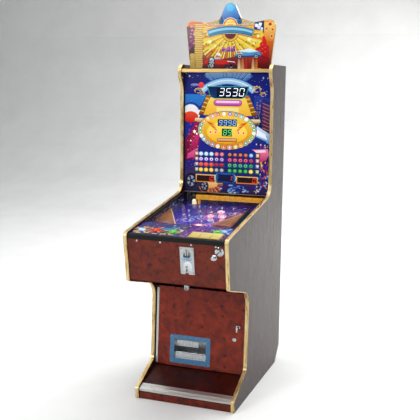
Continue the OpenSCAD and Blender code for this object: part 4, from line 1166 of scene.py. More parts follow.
    def tables(self, art):
        left = ((("9CC9F4", "D9ECFF"), ("D84A5A", "F0A0A0")), (("7A5AD0", "F4F0FF"), ("6A48B8", "E8E0FF")),
                (("E0301E", "FF7A50"), ("8A1420", "D8404A")), (("E8B020", "FFE66A"), ("6A6E7A", "C8CCD4")))
        right = ((("6A2A1C", "E88A5A"), ("3C8AE0", "BFE0FF")), (("B02850", "F48AA0"), ("8C1E48", "E8688C")),
                 (("1C7A48", "7ADCA0"), ("186A40", "5AC88A")), (("1C7A3C", "60D070"), ("1C7A3C", "60D070")))
        rows = ("F28A28", "C83CA0", "2F62D0", "2E9E4C")
        for x0, x1, colours, label in ((-187, -3, left, -1), (6, 195, right, 1)):
            art.block(x0, 1124, x1, 1244, "10124A", 7, "1C2468", 0.2)
            for r in range(4):
                z = 1229 - r * 30
                art.block(
                    x0 + 1.5, z - 14, x1 - 1.5, z + 13, ("22307E", "3C2678", "1C3E8E", "123A5A")[r], 8,
                    lit=0.25
                )
                edge = x0 + 12 if label < 0 else x1 - 12
                art.block(edge - 9, z - 10, edge + 9, z + 10, rows[r], 9, "F6E0A0", 0.5)
                art.star(edge, z, 6, "FFFFFF", 10, tips=4, waist=0.45, lit=0.8)
                start = x0 + 38 if label < 0 else x0 + 16
                for c in range(5):
                    x = start + c * 31
                    dark, pale = colours[r][0 if c < (3 if label < 0 else 4) else 1]
                    glow = 1.0 if (label < 0 and c < 3) or (label > 0 and r == 3 and c == 4) else 0.5
                    if label > 0 and r == 3 and c == 4:
                        dark, pale = "E8A818", "FFF08A"
                    art.oval(x, z, 13.2, 12.2, dark, 9, sides=18, lit=0.4 * glow)
                    art.oval(x, z + 1, 9.4, 8.6, pale, 10, top=pale, sides=14, lit=glow)
                    if r == 2 and label < 0:
                        art.block(x - 12, z - 4.5, x + 12, z + 4.5, dark, 11, pale, 0.8)
                    elif r in (1, 2):
                        art.oval(x, z, 5, 5, dark, 11, sides=12, lit=0.4)

    def low_windows(self, art):
        for x0, x1, z0, z1, rim, pale in (
            (-180, -63, 1068, 1112, "F08A24", "FFD27A"), (62, 186, 1070, 1111, "F08A24", "FFD27A")
        ):
            art.block(x0, z0, x1, z1, rim, 8, pale, 0.6)
            art.block(x0 + 5, z0 + 5, x1 - 5, z1 - 5, "180608", 9, "2A0A0C")
        art.number([1, 0], -112, -72, 1077, 25, "FF2A1C", 10, bar=0.18, lit=2.6, dim="3A0A0C")
        art.number([0], 152, 176, 1077, 25, "FF2A1C", 10, bar=0.18, lit=2.6, dim="3A0A0C")
        art.number([None] * 3, -172, -112, 1077, 25, "FF2A1C", 10, bar=0.18, dim="3A0A0C")
        art.number([None] * 3, 78, 150, 1077, 25, "FF2A1C", 10, bar=0.18, dim="3A0A0C")
        for side in (-1, 1):
            art.arc(-2, 1097, 52, 27, 6, 90 - side * 90 - 58, 90 - side * 90 + 58, "2FB0B8", 9, 0.5, 14)
            art.arc(-2, 1097, 60, 33, 4, 90 - side * 90 - 50, 90 - side * 90 + 50, "BFECEC", 9, 0.6, 14)
        art.block(-56, 1068, 52, 1126, "123A8C", 9, "2C62C4", 0.4)
        art.block(-44, 1078, 40, 1116, "080C2C", 10, "101848")
        art.number([None, None, 1], -36, 38, 1083, 27, "FF3A22", 11, bar=0.18, lit=2.4, dim="14205C")


class PACHINKO_OT_sign(bpy.types.Operator):
    """Printed sign that stands on the head"""

    bl_idname = "pachinko.sign"
    bl_label = "Top sign"

    # right halves of the convex pieces of the sign's outline, 2 mm in from its edge
    HALVES = (
        ((0, 1.5), (231.2, 1.5), (256.4, 223.2), (256.6, 227.3), (254.4, 239.6), (248.4, 250), (0, 250)),
        ((0, 250), (103, 250), (103, 257.5), (66, 269.5), (0, 269.5)),
        ((103, 250), (129, 250), (129, 252.2), (103, 257.5)),
        ((129, 250), (150, 250), (150, 252.2), (129, 252)),
        ((150, 250), (248.4, 250), (238.6, 258.5), (226.9, 262.8), (214.8, 262.8), (150, 252.2)),
        (
            (0, 269.5), (61, 269.5), (60, 273), (31.2, 337.2), (24.7, 346.6), (15.6, 353), (7.6, 355.5),
            (0, 356)
        ),
    )

    def execute(self, context):
        art = Sheet(SIGN)
        for half in self.HALVES:
            for region in (half, [(-x, z) for x, z in reversed(half)]):
                art.within(region)
                self.paint(art, random.Random(3))
        art.finish("top_sign_print", "cabinet", "sign_art", FINISH["lit_print"])
        return {"FINISHED"}

    def paint(self, art, dice):
        art.block(-270, 0, 270, 150, "3E0E30", 0, "D2641A", 0.25)
        art.block(-270, 150, 270, 232, "E09A1C", 0, "F0B83C", 0.3)
        art.block(-270, 232, 270, 270, "C23A18", 0, "E87A2C", 0.3)
        # dark sky in the valleys, and the blue dome
        art.shape(
            [(-118, 236), (-46, 226), (-46, 272), (-84, 262), (-128, 254)], "10284E", 1, "2F86AE", 0.3
        )
        art.shape([(46, 226), (128, 236), (150, 254), (84, 262), (46, 272)], "2A5F9C", 1, "9CC8E4", 0.3)
        art.block(-66, 240, 66, 358, "1846A8", 2, "36B2E6", 0.5)
        art.oval(-2, 330, 20, 18, "2FA4DE", 3, top="4CC0EC", sides=24, lit=0.5)
        # gold and green burst under the banner
        art.shape([(-150, 108), (172, 108), (190, 232), (-160, 232)], "E8C81E", 1, "F4C03C", 0.5)
        draw_burst(art, 0, 196, 34, 190, 30, ("FFF08A", "E8861A", "F8E23A"), 2, 180, 360)
        draw_burst(art, 0, 196, 34, 170, 26, ("F09A24", "FFE070"), 2, -8, 60)
        draw_burst(art, 0, 196, 34, 170, 26, ("F09A24", "FFE070"), 2, 120, 188)
        for x, z, r in (
            (-118, 150, 14), (110, 160, 15), (136, 138, 10), (-132, 190, 10), (-88, 126, 8), (160, 178, 12)
        ):
            art.star(x, z, r, "FFF6C0", 3, tips=8, waist=0.4, lit=0.7)
        for k in range(24):
            x = -140 + k * 13
            art.star(
                x, 138 - 9 * math.sin(k * 1.3), 8, ("2F7A34", "8AB42E", "E8E04A")[k % 3], 3, tips=5,
                waist=0.35
            )
        for k in range(60):
            x, z = dice.uniform(-262, 262), dice.uniform(90, 258)
            if not -66 < x < 66:
                art.star(
                    x, z, dice.uniform(3, 8),
                    dice.choice(("F6C040", "D8481E", "FFE890", "9C2A1C", "F08A2A")), 3, tips=5
                )
        # far towers, between the two cars
        draw_skyline(art, -46, 30, 96, 130, "5A1A8C", "C04AB8", "FFD9F0", 4, dice)
        # rising sun over a thin cream frame, and the gold ring under the banner
        for side in (-1, 1):
            for reach, low, high, ink, layer, lit in (
                (142, 237, 243, "B8401E", 4, 0.0), (140, 239, 242, "FFE2A8", 5, 0.4)
            ):
                near, far = sorted((side * 40, side * reach))
                art.block(near, low, far, high, ink, layer, lit=lit)
        for r, ink, top, layer in ((
            43, "FFE9C0", "FFF4DC", 4
        ), (40, "9C2A12", "C8541A", 5), (35, "E8961A", "F4B830", 6),
                                   (32, "F6B82C", "FFE98A", 7)):
            art.oval(0, 236, r, r, ink, layer, top=top, sides=36, lit=0.5)
        for r, ink, top, layer in ((
            49, "8A4A10", "A85A1C", 6
        ), (46, "E8B81E", "FFD64A", 7), (37, "C86A14", "E89A28", 8),
                                   (33, "4A1220", "7A1E28", 9)):
            art.oval(1, 198, r, r, ink, layer, top=top, sides=36, lit=0.4)
        # empty banner, bowed upwards
        for radius, wide, ink, layer in ((
            391, 47, "8E2A1A", 10
        ), (393, 43, "E8E2C8", 11), (395, 39, "123E62", 12),
                                         (398, 33, "2E7EA8", 13), (413, 12, "8CCCE4", 14)):
            spread = 18.6 - (layer - 10) * 0.25
            art.arc(1, -200, radius, radius, wide, 90 - spread, 90 + spread, ink, layer, 0.4, 26)
        # left: dusk, a column of coins and a warm street
        art.shape([(-270, 60), (-206, 60), (-206, 228), (-270, 236)], "34081E", 2, "5A1234", 0.25)
        for k in range(9):
            art.oval(
                -238 + (k * 13) % 30, 118 + k * 12, 8, 7, ("B0248C", "6A1A70", "D85A9C")[k % 3], 3, sides=9,
                lit=0.3
            )
        art.shape([(-240, 0), (-160, 0), (-150, 60), (-250, 96)], "5A1050", 2, "A02A4C", 0.3)
        draw_coins(art, -184, 6, 24, 50, 15)
        draw_coins(art, -218, 4, 12, 34, 15)
        draw_burst(art, -182, 196, 14, 34, 16, ("FFF0A0", "F8BE2A"), 14)
        art.oval(-182, 196, 15, 15, "E89A14", 15, top="FFE27A", sides=24, lit=0.5)
        # right: cards of light, a stepped red tower and its reflection
        art.shape([(134, 212), (190, 206), (190, 262), (140, 262)], "0E1E54", 3, "24489C", 0.3)
        for k, (x, z) in enumerate(((150, 234), (164, 222), (170, 240), (182, 214))):
            art.shape(
                [(x - 10, z - 6), (x + 7, z - 10), (x + 10, z + 7), (x - 6, z + 10)],
                ("F4F8FF", "8FB8E8")[k % 2], 4, "FFFFFF", 0.5
            )
        art.block(186, 196, 192, 262, "14141C", 5)
        art.shape([(192, 150), (256, 150), (262, 264), (192, 264)], "D87A1C", 4, "F8D070", 0.4)
        for x, z, r in ((226, 240, 20), (240, 212, 13), (206, 216, 12), (236, 176, 14)):
            art.star(x, z, r, "FFDE80", 6, tips=7, waist=0.5, lit=0.5)
            art.star(x, z, r * 0.7, "D0301C", 7, tips=7, waist=0.5, lit=0.3)
        art.shape([(150, 70), (224, 60), (
            222, 128
        ), (208, 128), (208, 152), (198, 176), (186, 178), (184, 150), (172, 142),
                   (170, 122), (150, 112)], "B0101A", 8, "E01E1C", 0.4)
        art.shape([(160, 8), (214, 0), (222, 62), (160, 74)], "4A0A10", 8, "B01418", 0.3)
        for k in range(8):
            art.block(168 + (k % 3) * 15, 76 + k * 8, 175 + (k % 3) * 15, 80 + k * 8, "FF6A40", 9, lit=0.5)
        # wet street in the low part
        art.shape([(-160, 0), (230, 0), (228, 62), (40, 70), (-150, 40)], "4A1024", 3, "8A2A2A", 0.3)
        art.shape([(-24, 0), (30, 0), (24, 14), (-14, 16)], "28289C", 6, "6A6AD8", 0.3)
        for k, ink in enumerate(("F8E8C0", "F0A25A", "C8241A", "8A1414", "F2D290", "E88A2A", "E8B04A", "C83A20")):
            x = 46 + k * 20
            art.shape([(x, 0), (x + 18, 0), (x + 14, 66), (x + 2, 66)], ink, 4, "B8301C", 0.4)
        draw_car(art, 104, 64, 148, "4A9CD6", "10305E", "0C1A40", 10, -1, lit=0.3)
        art.shape([(34, 98), (112, 112), (166, 96), (112, 90)], "C4E4F8", 13, "FFFFFF", 0.5)
        draw_car(art, -54, 14, 196, "E41E16", "7A080C", "180E2A", 10, 1, lit=0.3)
        art.oval(-106, 36, 21, 34, "12101A", 15, sides=24)
        art.oval(-106, 36, 15, 27, "A8B4C0", 16, top="E4EAF0", sides=24, lit=0.3)
        for k in range(6):
            art.ray(-106, 36, 4, 17, 60 * k + 8, 60 * k + 34, "2A2C3C", 17)
        art.shape([(-84, 84), (-60, 90), (-46, 72), (-62, 70)], "FFC8B0", 14, "FFFFFF", 0.5)
        art.shape([(-30, 30), (40, 34), (38, 14), (-34, 12)], "3A1018", 14, "7A2A24", 0.2)


class PACHINKO_OT_field(bpy.types.Operator):
    """Printed playfield, its walls, guards and arch"""

    bl_idname = "pachinko.field"
    bl_label = "Playfield print"

    def execute(self, context):
        dice = random.Random(11)
        art = Sheet(DECK, -FIELD_DROP + 0.05)
        art.within([(-250, 168), (250, 168), (250, 768), (-250, 768)])
        art.block(-250, 168, 250, 420, "3A1E86", 0, "3B2FB4", 0.15)
        art.block(-250, 420, 250, 768, "3B2FB4", 0, "241A78", 0.15)
        # blue web of arcs on the left and middle, pink haze to the right
        for k in range(9):
            art.oval(
                110 + 10 * k, 430 + 26 * k, 84 - 5 * k, 70, ("8A1E8E", "B0349C", "6A2CB0")[k % 3], 1,
                sides=20
            )
        for k in range(34):
            x, y = -110 + (k * 67) % 260, 290 + (k * 43) % 330
            ink = ("4C6CF0", "7A58E0", "2A8AE4", "D04AB8", "8FB4FF", "F0A0D0")[k % 6]
            art.arc(x, y, 34, 34, 5, k * 40, k * 40 + 150, ink, 2, 0.3, 10)
            art.arc(x, y, 20, 20, 3, k * 70, k * 70 + 200, ("BFD4FF", "FFB8E4")[k % 2], 3, 0.3, 8)
        for k in range(70):
            x, y = dice.uniform(-170, 180), dice.uniform(250, 720)
            art.star(
                x, y, dice.uniform(4, 11), dice.choice(("A9C8FF", "FF8AC8", "6E8CFF", "FFE0F4", "5AD0F0")),
                4, tips=4, waist=0.36, lit=0.4
            )
        for k in range(8):
            art.shape([(-40 + 22 * k, 168), (-30 + 22 * k, 168), (20 + 12 * k, 290), (14 + 12 * k, 290)],
                      ("D03A6A", "5A2AB0")[k % 2], 5, lit=0.2)
        # the lane is plain with a pale centre line
        art.block(191, 168, 250, 768, "2A1A5C", 5, "3C2A86")
        art.block(219, 175, 222, 768, "C9A8F0", 6, lit=0.2)
        art.finish("playfield_print", "cabinet", "playfield_art", FINISH["lit_print"])
        self.wall("left_wall_print", -1, ("0E1238", "1C2466"), ("24307E", "3A4AA8", "16205C", "5A66C8"), 5)
        self.wall("right_wall_print", 1, ("5A1E78", "9A3C9C"), ("C060B8", "6A2A98", "E890D0", "4A2080"), 6)
        self.guards()
        return {"FINISHED"}

    def wall(self, name, side, back, inks, seed):
        """Print on the inner face of one side, between the playfield and the glass."""
        dice = random.Random(seed)
        along = Vector(JOINTS["ball_roll"]["axis"]) * -side
        wall = Datum(DECK.origin + Vector((side * (INNER_HALF - 0.3), 0, 0)), along, DECK.n)
        art = Sheet(wall)
        art.within([(a, b) for a, b in ((-760, -70), (-206, -70), (-206, -7), (-760, -7))] if side > 0 else
                   [(206, -70), (760, -70), (760, -7), (206, -7)])
        art.block(-760, -70, 760, -7, back[0], 0, back[1], 0.15)
        for _ in range(60):
            a = dice.uniform(206, 760) * -side
            b = dice.uniform(-70, -16)
            art.shape([
                (a, b), (a + dice.uniform(14, 60), b + dice.uniform(-4, 8)),
                (a + dice.uniform(6, 40), b + dice.uniform(8, 22))
            ],
                      dice.choice(inks), 1 + int(dice.random() * 2), lit=0.15)
        art.finish(name, "cabinet", "playfield_art", FINISH["lit_print"])

    def guards(self):
        dice = random.Random(21)
        art = Sheet(DECK, -FIELD_DROP + 26.05)
        left = [(-247, 326), (-126, 303), (-247, 548)]
        right = [(177, 330), (177, 548), (78, 350)]
        for outline, trim in ((left, ((-124, 305), (-246, 548))), (right, ((79, 352), (176, 546)))):
            art.within(outline)
            art.block(-260, 290, 200, 570, "8A4A22", 0, "C4803C", 0.15)
            for _ in range(44):
                x = dice.uniform(min(p[0] for p in outline), max(p[0] for p in outline))
                y = dice.uniform(300, 550)
                ink = dice.choice(("D8A050", "6A2E16", "E8C078", "A85A2A", "C8702E", "4A7A8C"))
                art.arc(
                    x, y, dice.uniform(6, 18), dice.uniform(6, 18), 2.4, dice.uniform(0, 180),
                    dice.uniform(200, 360), ink, 1, 0.1, 8
                )
            (ax, ay), (bx, by) = trim
            art.bound = None
            art.shape([(ax, ay), (bx, by), (bx + 3, by + 1), (ax + 4, ay + 1)], "E9D3C8", 3, lit=0.3)
        art.finish("guard_print", "cabinet", "amber_plastic", FINISH["lit_print"])
        arch = Sheet(DECK, -FIELD_DROP + 34.05)
        arch.within([(-16, 267), (44, 267), (44, 282)] + [
            (
                14 + 30.5 * math.cos(math.radians(t)), 282 + 30.5 * math.sin(math.radians(t))
            ) for t in range(10, 171, 10)
        ] + [(-16, 282)])
        # painted highlight on the red arch: the red fades to a paler top, and the pale rays and the white oval near the
        # crown are painted highlight
        arch.block(-20, 260, 50, 320, "C01424", 0, "F23A30", 0.5)
        draw_burst(arch, 14, 276, 8, 40, 9, ("FF7A5C", "FFC0A8"), 1, 0, 180)
        arch.oval(14, 290, 17, 12, "FFD8CC", 2, top="FFFFFF", lit=1.2)
        arch.finish("arch_print_and_painted_highlight", "cabinet", "red_plastic", FINISH["lit_print"])


class PACHINKO_OT_bumpers(bpy.types.Operator):
    """Lit mushroom bumpers, capped pins and dome lamps on the playfield"""

    bl_idname = "pachinko.bumpers"
    bl_label = "Bumpers and lamps"

    SPOTS = ((12, 471), (78, 471), (45, 550))
    # pins stand on a staggered grid; bumpers, the arch and the guards take some places
    PINS = [
        (x, y) for k in range(5) for i in range(-1, 4) for x, y in [(-42 + 66 * i - (k % 2) * 33, 313 + 79 * k)]
        if (i, k) not in ((1, 2), (2, 2), (2, 3), (3, 1)) and (k or not i) and -120 - 12 * k < x < 130
    ]

    def execute(self, context):
        base = -FIELD_DROP
        cap = [
            (0, 21.6), (20.4, 21.6), (21, 22.4), (21, 24.4), (20.2, 25.6), (17, 27.2), (12, 29.2),
            (6.5, 30.5), (0, 31)
        ]
        stem = [
            (0, 0.1), (18, 0.1), (18, 1.6), (16.8, 3), (12.4, 3.6), (11.4, 6), (11.4, 18), (12.2, 21.5),
            (0, 21.5)
        ]
        for name, profile, finish, slot in (
            ("bumper_caps", cap, "pink_cap", "pink_cap"), ("bumper_skirts", stem, "nylon", "white_pin"),
        ):
            parts = [
                turned_shape([(r, h + base) for r, h in profile], DECK, x, y, 36) for x, y in self.SPOTS
            ]
            mesh = gathered(name, parts, FINISH[finish], edge_angle=40)
            finished(name, mesh, "cabinet", ("bumpers",))
        # bright star on the crown of each cap
        art = Sheet(DECK, base + 30.62)
        for x, y in self.SPOTS:
            art.star(x, y, 9, "FFFFFF", 0, tips=6, lit=2.5)
        art.finish("bumper_crowns", "cabinet", "pink_cap", FINISH["lit_print"])
        # small red dome beside the arch, and a frosted dome lamp high on the left
        red = [
            (0, 0.1), (16.5, 0.1), (16.5, 2), (15.3, 2.4), (15.3, 10), (14.2, 16), (10.8, 21), (5.8, 24.4),
            (0, 25.4)
        ]
        mesh = gathered("small_red_dome", [turned_shape([(r, h + base) for r, h in red], DECK, 62, 290, 32)],
                        FINISH["red_plastic"], edge_angle=50)
        finished("small_red_dome", mesh, "cabinet")
        white = [(0, 0.1), (14, 0.1), (14, 3), (12, 3.4), (12, 14), (10.6, 21), (6.4, 25.4), (0, 27.4)]
        mesh = gathered("dome_lamp", [turned_shape([(r, h + base) for r, h in white], DECK, -181, 738, 32)],
                        FINISH["lamp"], edge_angle=50)
        finished("dome_lamp", mesh, "cabinet")
        spots = [DECK.at(x, y, base) for x, y in self.PINS]
        pins = grown_from(pin_tree(), "field_pins", spots, [DECK.n] * len(spots), {
            "Cap Width": 9 * MM, "Stem Width": 3.2 * MM, "Height": 24.4 * MM,
            "Cap Finish": FINISH["nylon"], "Stem Finish": FINISH["zinc"],
        }, "cabinet")
        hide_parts("playfield_pins")
        return {"FINISHED"}


class PACHINKO_OT_controls(bpy.types.Operator):
    """Printed control panel with its push buttons and instruction plate"""

    bl_idname = "pachinko.controls"
    bl_label = "Controls"

    TOP = -8.0
    # place across and up the deck, radius of the collar, finish and slot
    BUTTONS = {
        "blue_button": (-209.2, 88.0, 19, "blue_cap"),
        "red_button": (-136.1, 95.0, 19, "red_cap"),
        "green_button": (-45.4, 92.0, 19, "green_cap"),
        "start_button": (171.4, 131.0, 19, "green_cap"),
        "small_button": (204.1, 143.0, 13, "blue_cap"),
    }

    def execute(self, context):
        self.print_panel()
        self.place_buttons()
        self.place_plates()
        return {"FINISHED"}

    def print_panel(self):
        dice = random.Random(5)
        art = Sheet(DECK, self.TOP + 0.05)
        art.within([(-250.5, 22), (250.5, 22), (250.5, 203), (-250.5, 203)])
        art.block(-251, 20, 251, 203, "221A54", 0, "2E2474", 0.1)
        # fans of colour round each button
        fans = ((
            "D8A040", "6A4A24", "E8C070"
        ), ("C84A28", "4A2A48", "E89A3A"), ("C8B83A", "3A6A3A", "7A8A2A"),
                ("3A9A6A", "2A3A8A", "8AC85A"), ("3A7AC8", "2A2A7A", "9AC0F0"))
        for (x, y, r, finish), inks in zip(self.BUTTONS.values(), fans):
            draw_burst(art, x, y + 4, r, 46, 13, inks, 1)
        # a blue-green swirl between red and green, purple rays in the middle
        for k in range(6):
            art.arc(
                -88, 146, 20 + 8 * k, 13 + 5 * k, 4.5, 200 + 12 * k, 420 - 8 * k,
                ("2A78B8", "4AB0C8", "1F4F9C")[k % 3], 2, 0.1, 14
            )
        for k in range(10):
            art.shape(
                [(0 + k * 7, 22), (4 + k * 7, 22), (44 + k * 16, 200), (36 + k * 16, 200)],
                ("6A2AA0", "3A2A9A", "A03A9A")[k % 3], 1
            )
        for k in range(5):
            art.pill(
                -226 + k * 44, 40 + 4 * (k % 2), -196 + k * 44, 50 + 4 * (k % 2),
                ("D8B848", "C85A34", "4A9AC8", "C8B84A", "8A4AB8")[k], 3, "F2E0A0"
            )
        for _ in range(110):
            x, y = dice.uniform(-246, 246), dice.uniform(24, 200)
            ink = dice.choice(("E8A83A", "D8522A", "4A8AD8", "8A4AC0", "F0D070", "3AA078", "C83A6A", "DDE4F4"))
            art.shape(
                [
                    (x, y), (x + dice.uniform(4, 15), y + dice.uniform(-4, 4)),
                    (x + dice.uniform(-3, 8), y + dice.uniform(3, 9))
                ],
                ink, 2
            )
        art.finish("control_panel_print", "cabinet", "art_panel", FINISH["print"])

    def place_buttons(self):
        top = self.TOP
        for name, (x, y, r, finish) in self.BUTTONS.items():
            hole = r - 6.0
            collar = [(hole, -24), (r - 4.15, -24), (
                r - 4.15, 0.15
            ), (r - 0.2, 0.15), (r, 0.6), (r, 2.0), (r - 1.1, 3.2), (r - 2.6, 3.5),
                      (r - 4.4, 3.3), (hole + 0.5, 2.2), (hole, 1.4), (hole, -24)]
            mesh = gathered(
                name + "_collar", [turned_shape([(q, h + top) for q, h in collar], DECK, x, y, 48)],
                FINISH[finish], edge_angle=32
            )
            finished(name + "_collar", mesh, "cabinet", ("button_bodies",))
            c = hole - 0.35
            dome = [
                (0, -11.9), (c, -11.9), (c, 4.2), (c - 0.5, 5.4), (c - 1.6, 6.4), (c * 0.66, 7.6),
                (c * 0.36, 8.4), (0, 8.7)
            ]
            mesh = gathered(
                name + "_cap", [turned_shape([(q, h + top) for q, h in dome], DECK, x, y, 48)],
                FINISH[finish], edge_angle=32
            )
            finished(name + "_cap", mesh, name, (name,))

    def place_plates(self):
        # blank brass instruction plate, lightly scored into boxes
        plate = gathered(
            "instruction_plate", [brick(DECK, 51, 30, self.TOP + 0.4, 214, 112, self.TOP + 1.4, 0.3)],
            FINISH["gold_metal"]
        )
        finished("instruction_plate", plate, "cabinet")
        art = Sheet(DECK, self.TOP + 1.45)
        art.within([(52, 31), (213, 31), (213, 111), (52, 111)])
        art.block(52, 31, 213, 111, "A88E34", 0, "D6C268")
        for k, (x0, x1) in enumerate(((56, 104), (108, 160), (164, 209))):
            art.block(x0, 36, x1, 106, "9C8430", 1, "C4AE54")
            art.block(x0 + 1, 37, x1 - 1, 105, "C9B452", 2, "E2D384")
            for row in range(3):
                art.pill(x0 + 6, 46 + row * 19, x1 - 6 - 5 * row, 53 + row * 19, "A8903A", 3, "F0E4A4")
        art.finish("instruction_print", "cabinet", "gold_metal", FINISH["print"])
        dial = [
            (0, 0.3), (13, 0.3), (13, 1.8), (11.6, 3.0), (9.4, 3.4), (8.6, 2.6), (6.2, 2.6), (4.6, 4.6),
            (0, 5.2)
        ]
        mesh = gathered("selector_disc", [turned_shape([(q, h + self.TOP) for q, h in dial], DECK, -7, 114, 40)],
                        FINISH["chrome"], edge_angle=35)
        finished("selector_disc", mesh, "cabinet")


class PACHINKO_OT_coin_entry(bpy.types.Operator):
    """Coin plate with its guides, label and return lever"""

    bl_idname = "pachinko.coin_entry"
    bl_label = "Coin entry"

    MID = Vector((58.0, -117.0))

    def execute(self, context):
        face = -2.0
        x, z = self.MID
        plate = []
        # two curved ears that steer a coin into the slot
        for side in (-1, 1):
            path = [FRONT.at(
                x + side * (4.5 + 15 * math.sin(math.radians(t)) ** 2), z + 58 - 34 * t / 90, face + 2.2
            )
                    for t in range(0, 91, 9)]
            plate.append(tube(path, 2.1, 12))
            plate.append(tube([p for p in (FRONT.at(
                x + side * 19.5, z + 24, face + 2.0
            ), FRONT.at(x + side * 15, z + 14, face + 2.0),
                                           FRONT.at(x + side * 7, z + 9, face + 2.0), FRONT.at(
                                               x + side * 4.4, z + 15, face + 2.0
                                           ))], 1.8, 10))
        mesh = gathered("coin_guides", plate, FINISH["chrome"], edge_angle=60)
        finished("coin_guides", mesh, "cabinet")
        art = Sheet(FRONT, face + 0.05)
        art.within([(x - 35, z - 60), (x + 35, z - 60), (x + 35, z + 68), (x - 35, z + 68)])
        # painted shadow inside the curved guides either side of the slot, darkest at the bottom and paler upwards
        art.oval(x, z + 30, 19, 17, "23262C", 0, top="4A4E55", sides=28, start=180, sweep=180)
        art.block(x - 19, z + 29.5, x - 4.6, z + 42, "3A3D44", 0, "8A8E94")
        art.block(x + 4.6, z + 29.5, x + 19, z + 42, "3A3D44", 0, "8A8E94")
        # blue label with four pale dots
        art.pill(x - 24, z + 3, x + 24, z + 17, "2C7CC0", 1, "8CCBF0")
        for k in range(4):
            art.oval(x - 16 + k * 10.6, z + 10, 2.4, 3.2, "F0FAFF", 2, sides=12)
        # pale rounded field round the lever
        art.oval(x + 2, z - 28, 22, 24, "DCE4E8", 1, top="FFFFFF", sides=30, start=0, sweep=180)
        art.block(x - 20, z - 52, x - 9, z - 28, "C8D2D8", 1, "E8EEF0")
        art.block(x + 1, z - 52, x + 24, z - 28, "C8D2D8", 1, "E8EEF0")
        art.finish("coin_plate_print_and_painted_shadow", "cabinet", "steel", FINISH["print"])
        self.lever()
        return {"FINISHED"}

    def lever(self):
        x, z = self.MID.x - 4, self.MID.y - 42 + 8.5
        knob = [(0, 5.2), (5.2, 5.2), (6.0, 6.4), (6.0, 9.2), (5.2, 10.6), (3.4, 11.2), (0, 11.4)]
        parts = [turned_shape([(q, h) for q, h in knob], FRONT, x, z, 32),
                 brick(FRONT, x - 2.5, z - 3.5, -14, x + 2.5, z + 3.5, 5.6, 0.8),
                 brick(FRONT, x - 3.6, z - 5.5, -15.9, x + 3.6, z + 5.4, -7.2, 0.5)]
        mesh = gathered("coin_lever_arm", parts, FINISH["chrome"], edge_angle=40)
        finished("coin_lever_arm", mesh, "coin_lever", ("coin_lever",))


class PACHINKO_OT_shooter(bpy.types.Operator):
    """Ball shooter with its knob, rod and housing, and the steel ball"""

    bl_idname = "pachinko.shooter"
    bl_label = "Shooter and ball"

    def execute(self, context):
        x, z = 223.0, -57.0
        # along the deck: knob centre 77 in front, tip 170 behind the datum
        knob = [(0, 91), (4, 90.8), (8, 89.8), (
            11.4, 87.4
        ), (13.8, 83.6), (14.8, 79), (14.8, 75), (13.6, 70.6), (11, 67.4),
                (7.6, 65.4), (6.9, 64), (6.9, 60.2), (
                    4.05, 59.6
                ), (4.0, 40), (4.0, -119), (7, -119), (7, -123), (4, -123),
                (4.0, -162), (5.9, -162.4), (5.9, -169.4), (5.2, -170), (0, -170)]
        mesh = gathered(
            "shooter_knob_and_rod", [turned_shape(knob, FRONT, x, z, 44)], FINISH["chrome"], edge_angle=38
        )
        finished("shooter_knob_and_rod", mesh, "shooter", ("shooter_rod",))
        # round turned flange over the fixed barrel
        rings = [(4.2, 12), (11.2, 12), (12, 11), (12, 1.4), (14.5, 0.4), (21, -0.6), (
            22.4, -1.6
        ), (22.4, -3.9), (11, -3.9),
                 (11, -49.5), (9.1, -49.5), (9.1, -4), (4.2, -3.9), (4.2, 12)]
        mesh = gathered(
            "shooter_barrel", [turned_shape(rings, FRONT, x, z, 44)], FINISH["chrome"], edge_angle=32
        )
        finished("shooter_barrel", mesh, "cabinet", ("shooter_housing",))
        low, high = place_of("ball")
        middle, radius = (low + high) / 2, (high.x - low.x) / 2
        here = Datum(middle, DECK.u, DECK.v)
        bow = [(radius * math.sin(math.radians(t)), radius * math.cos(math.radians(180 - t))) for t in range(0, 181, 9)]
        mesh = gathered("steel_ball", [turned_shape(bow, here, 0, 0, 40)], FINISH["chrome"], edge_angle=60)
        finished("steel_ball", mesh, "ball", ("ball",))
        return {"FINISHED"}


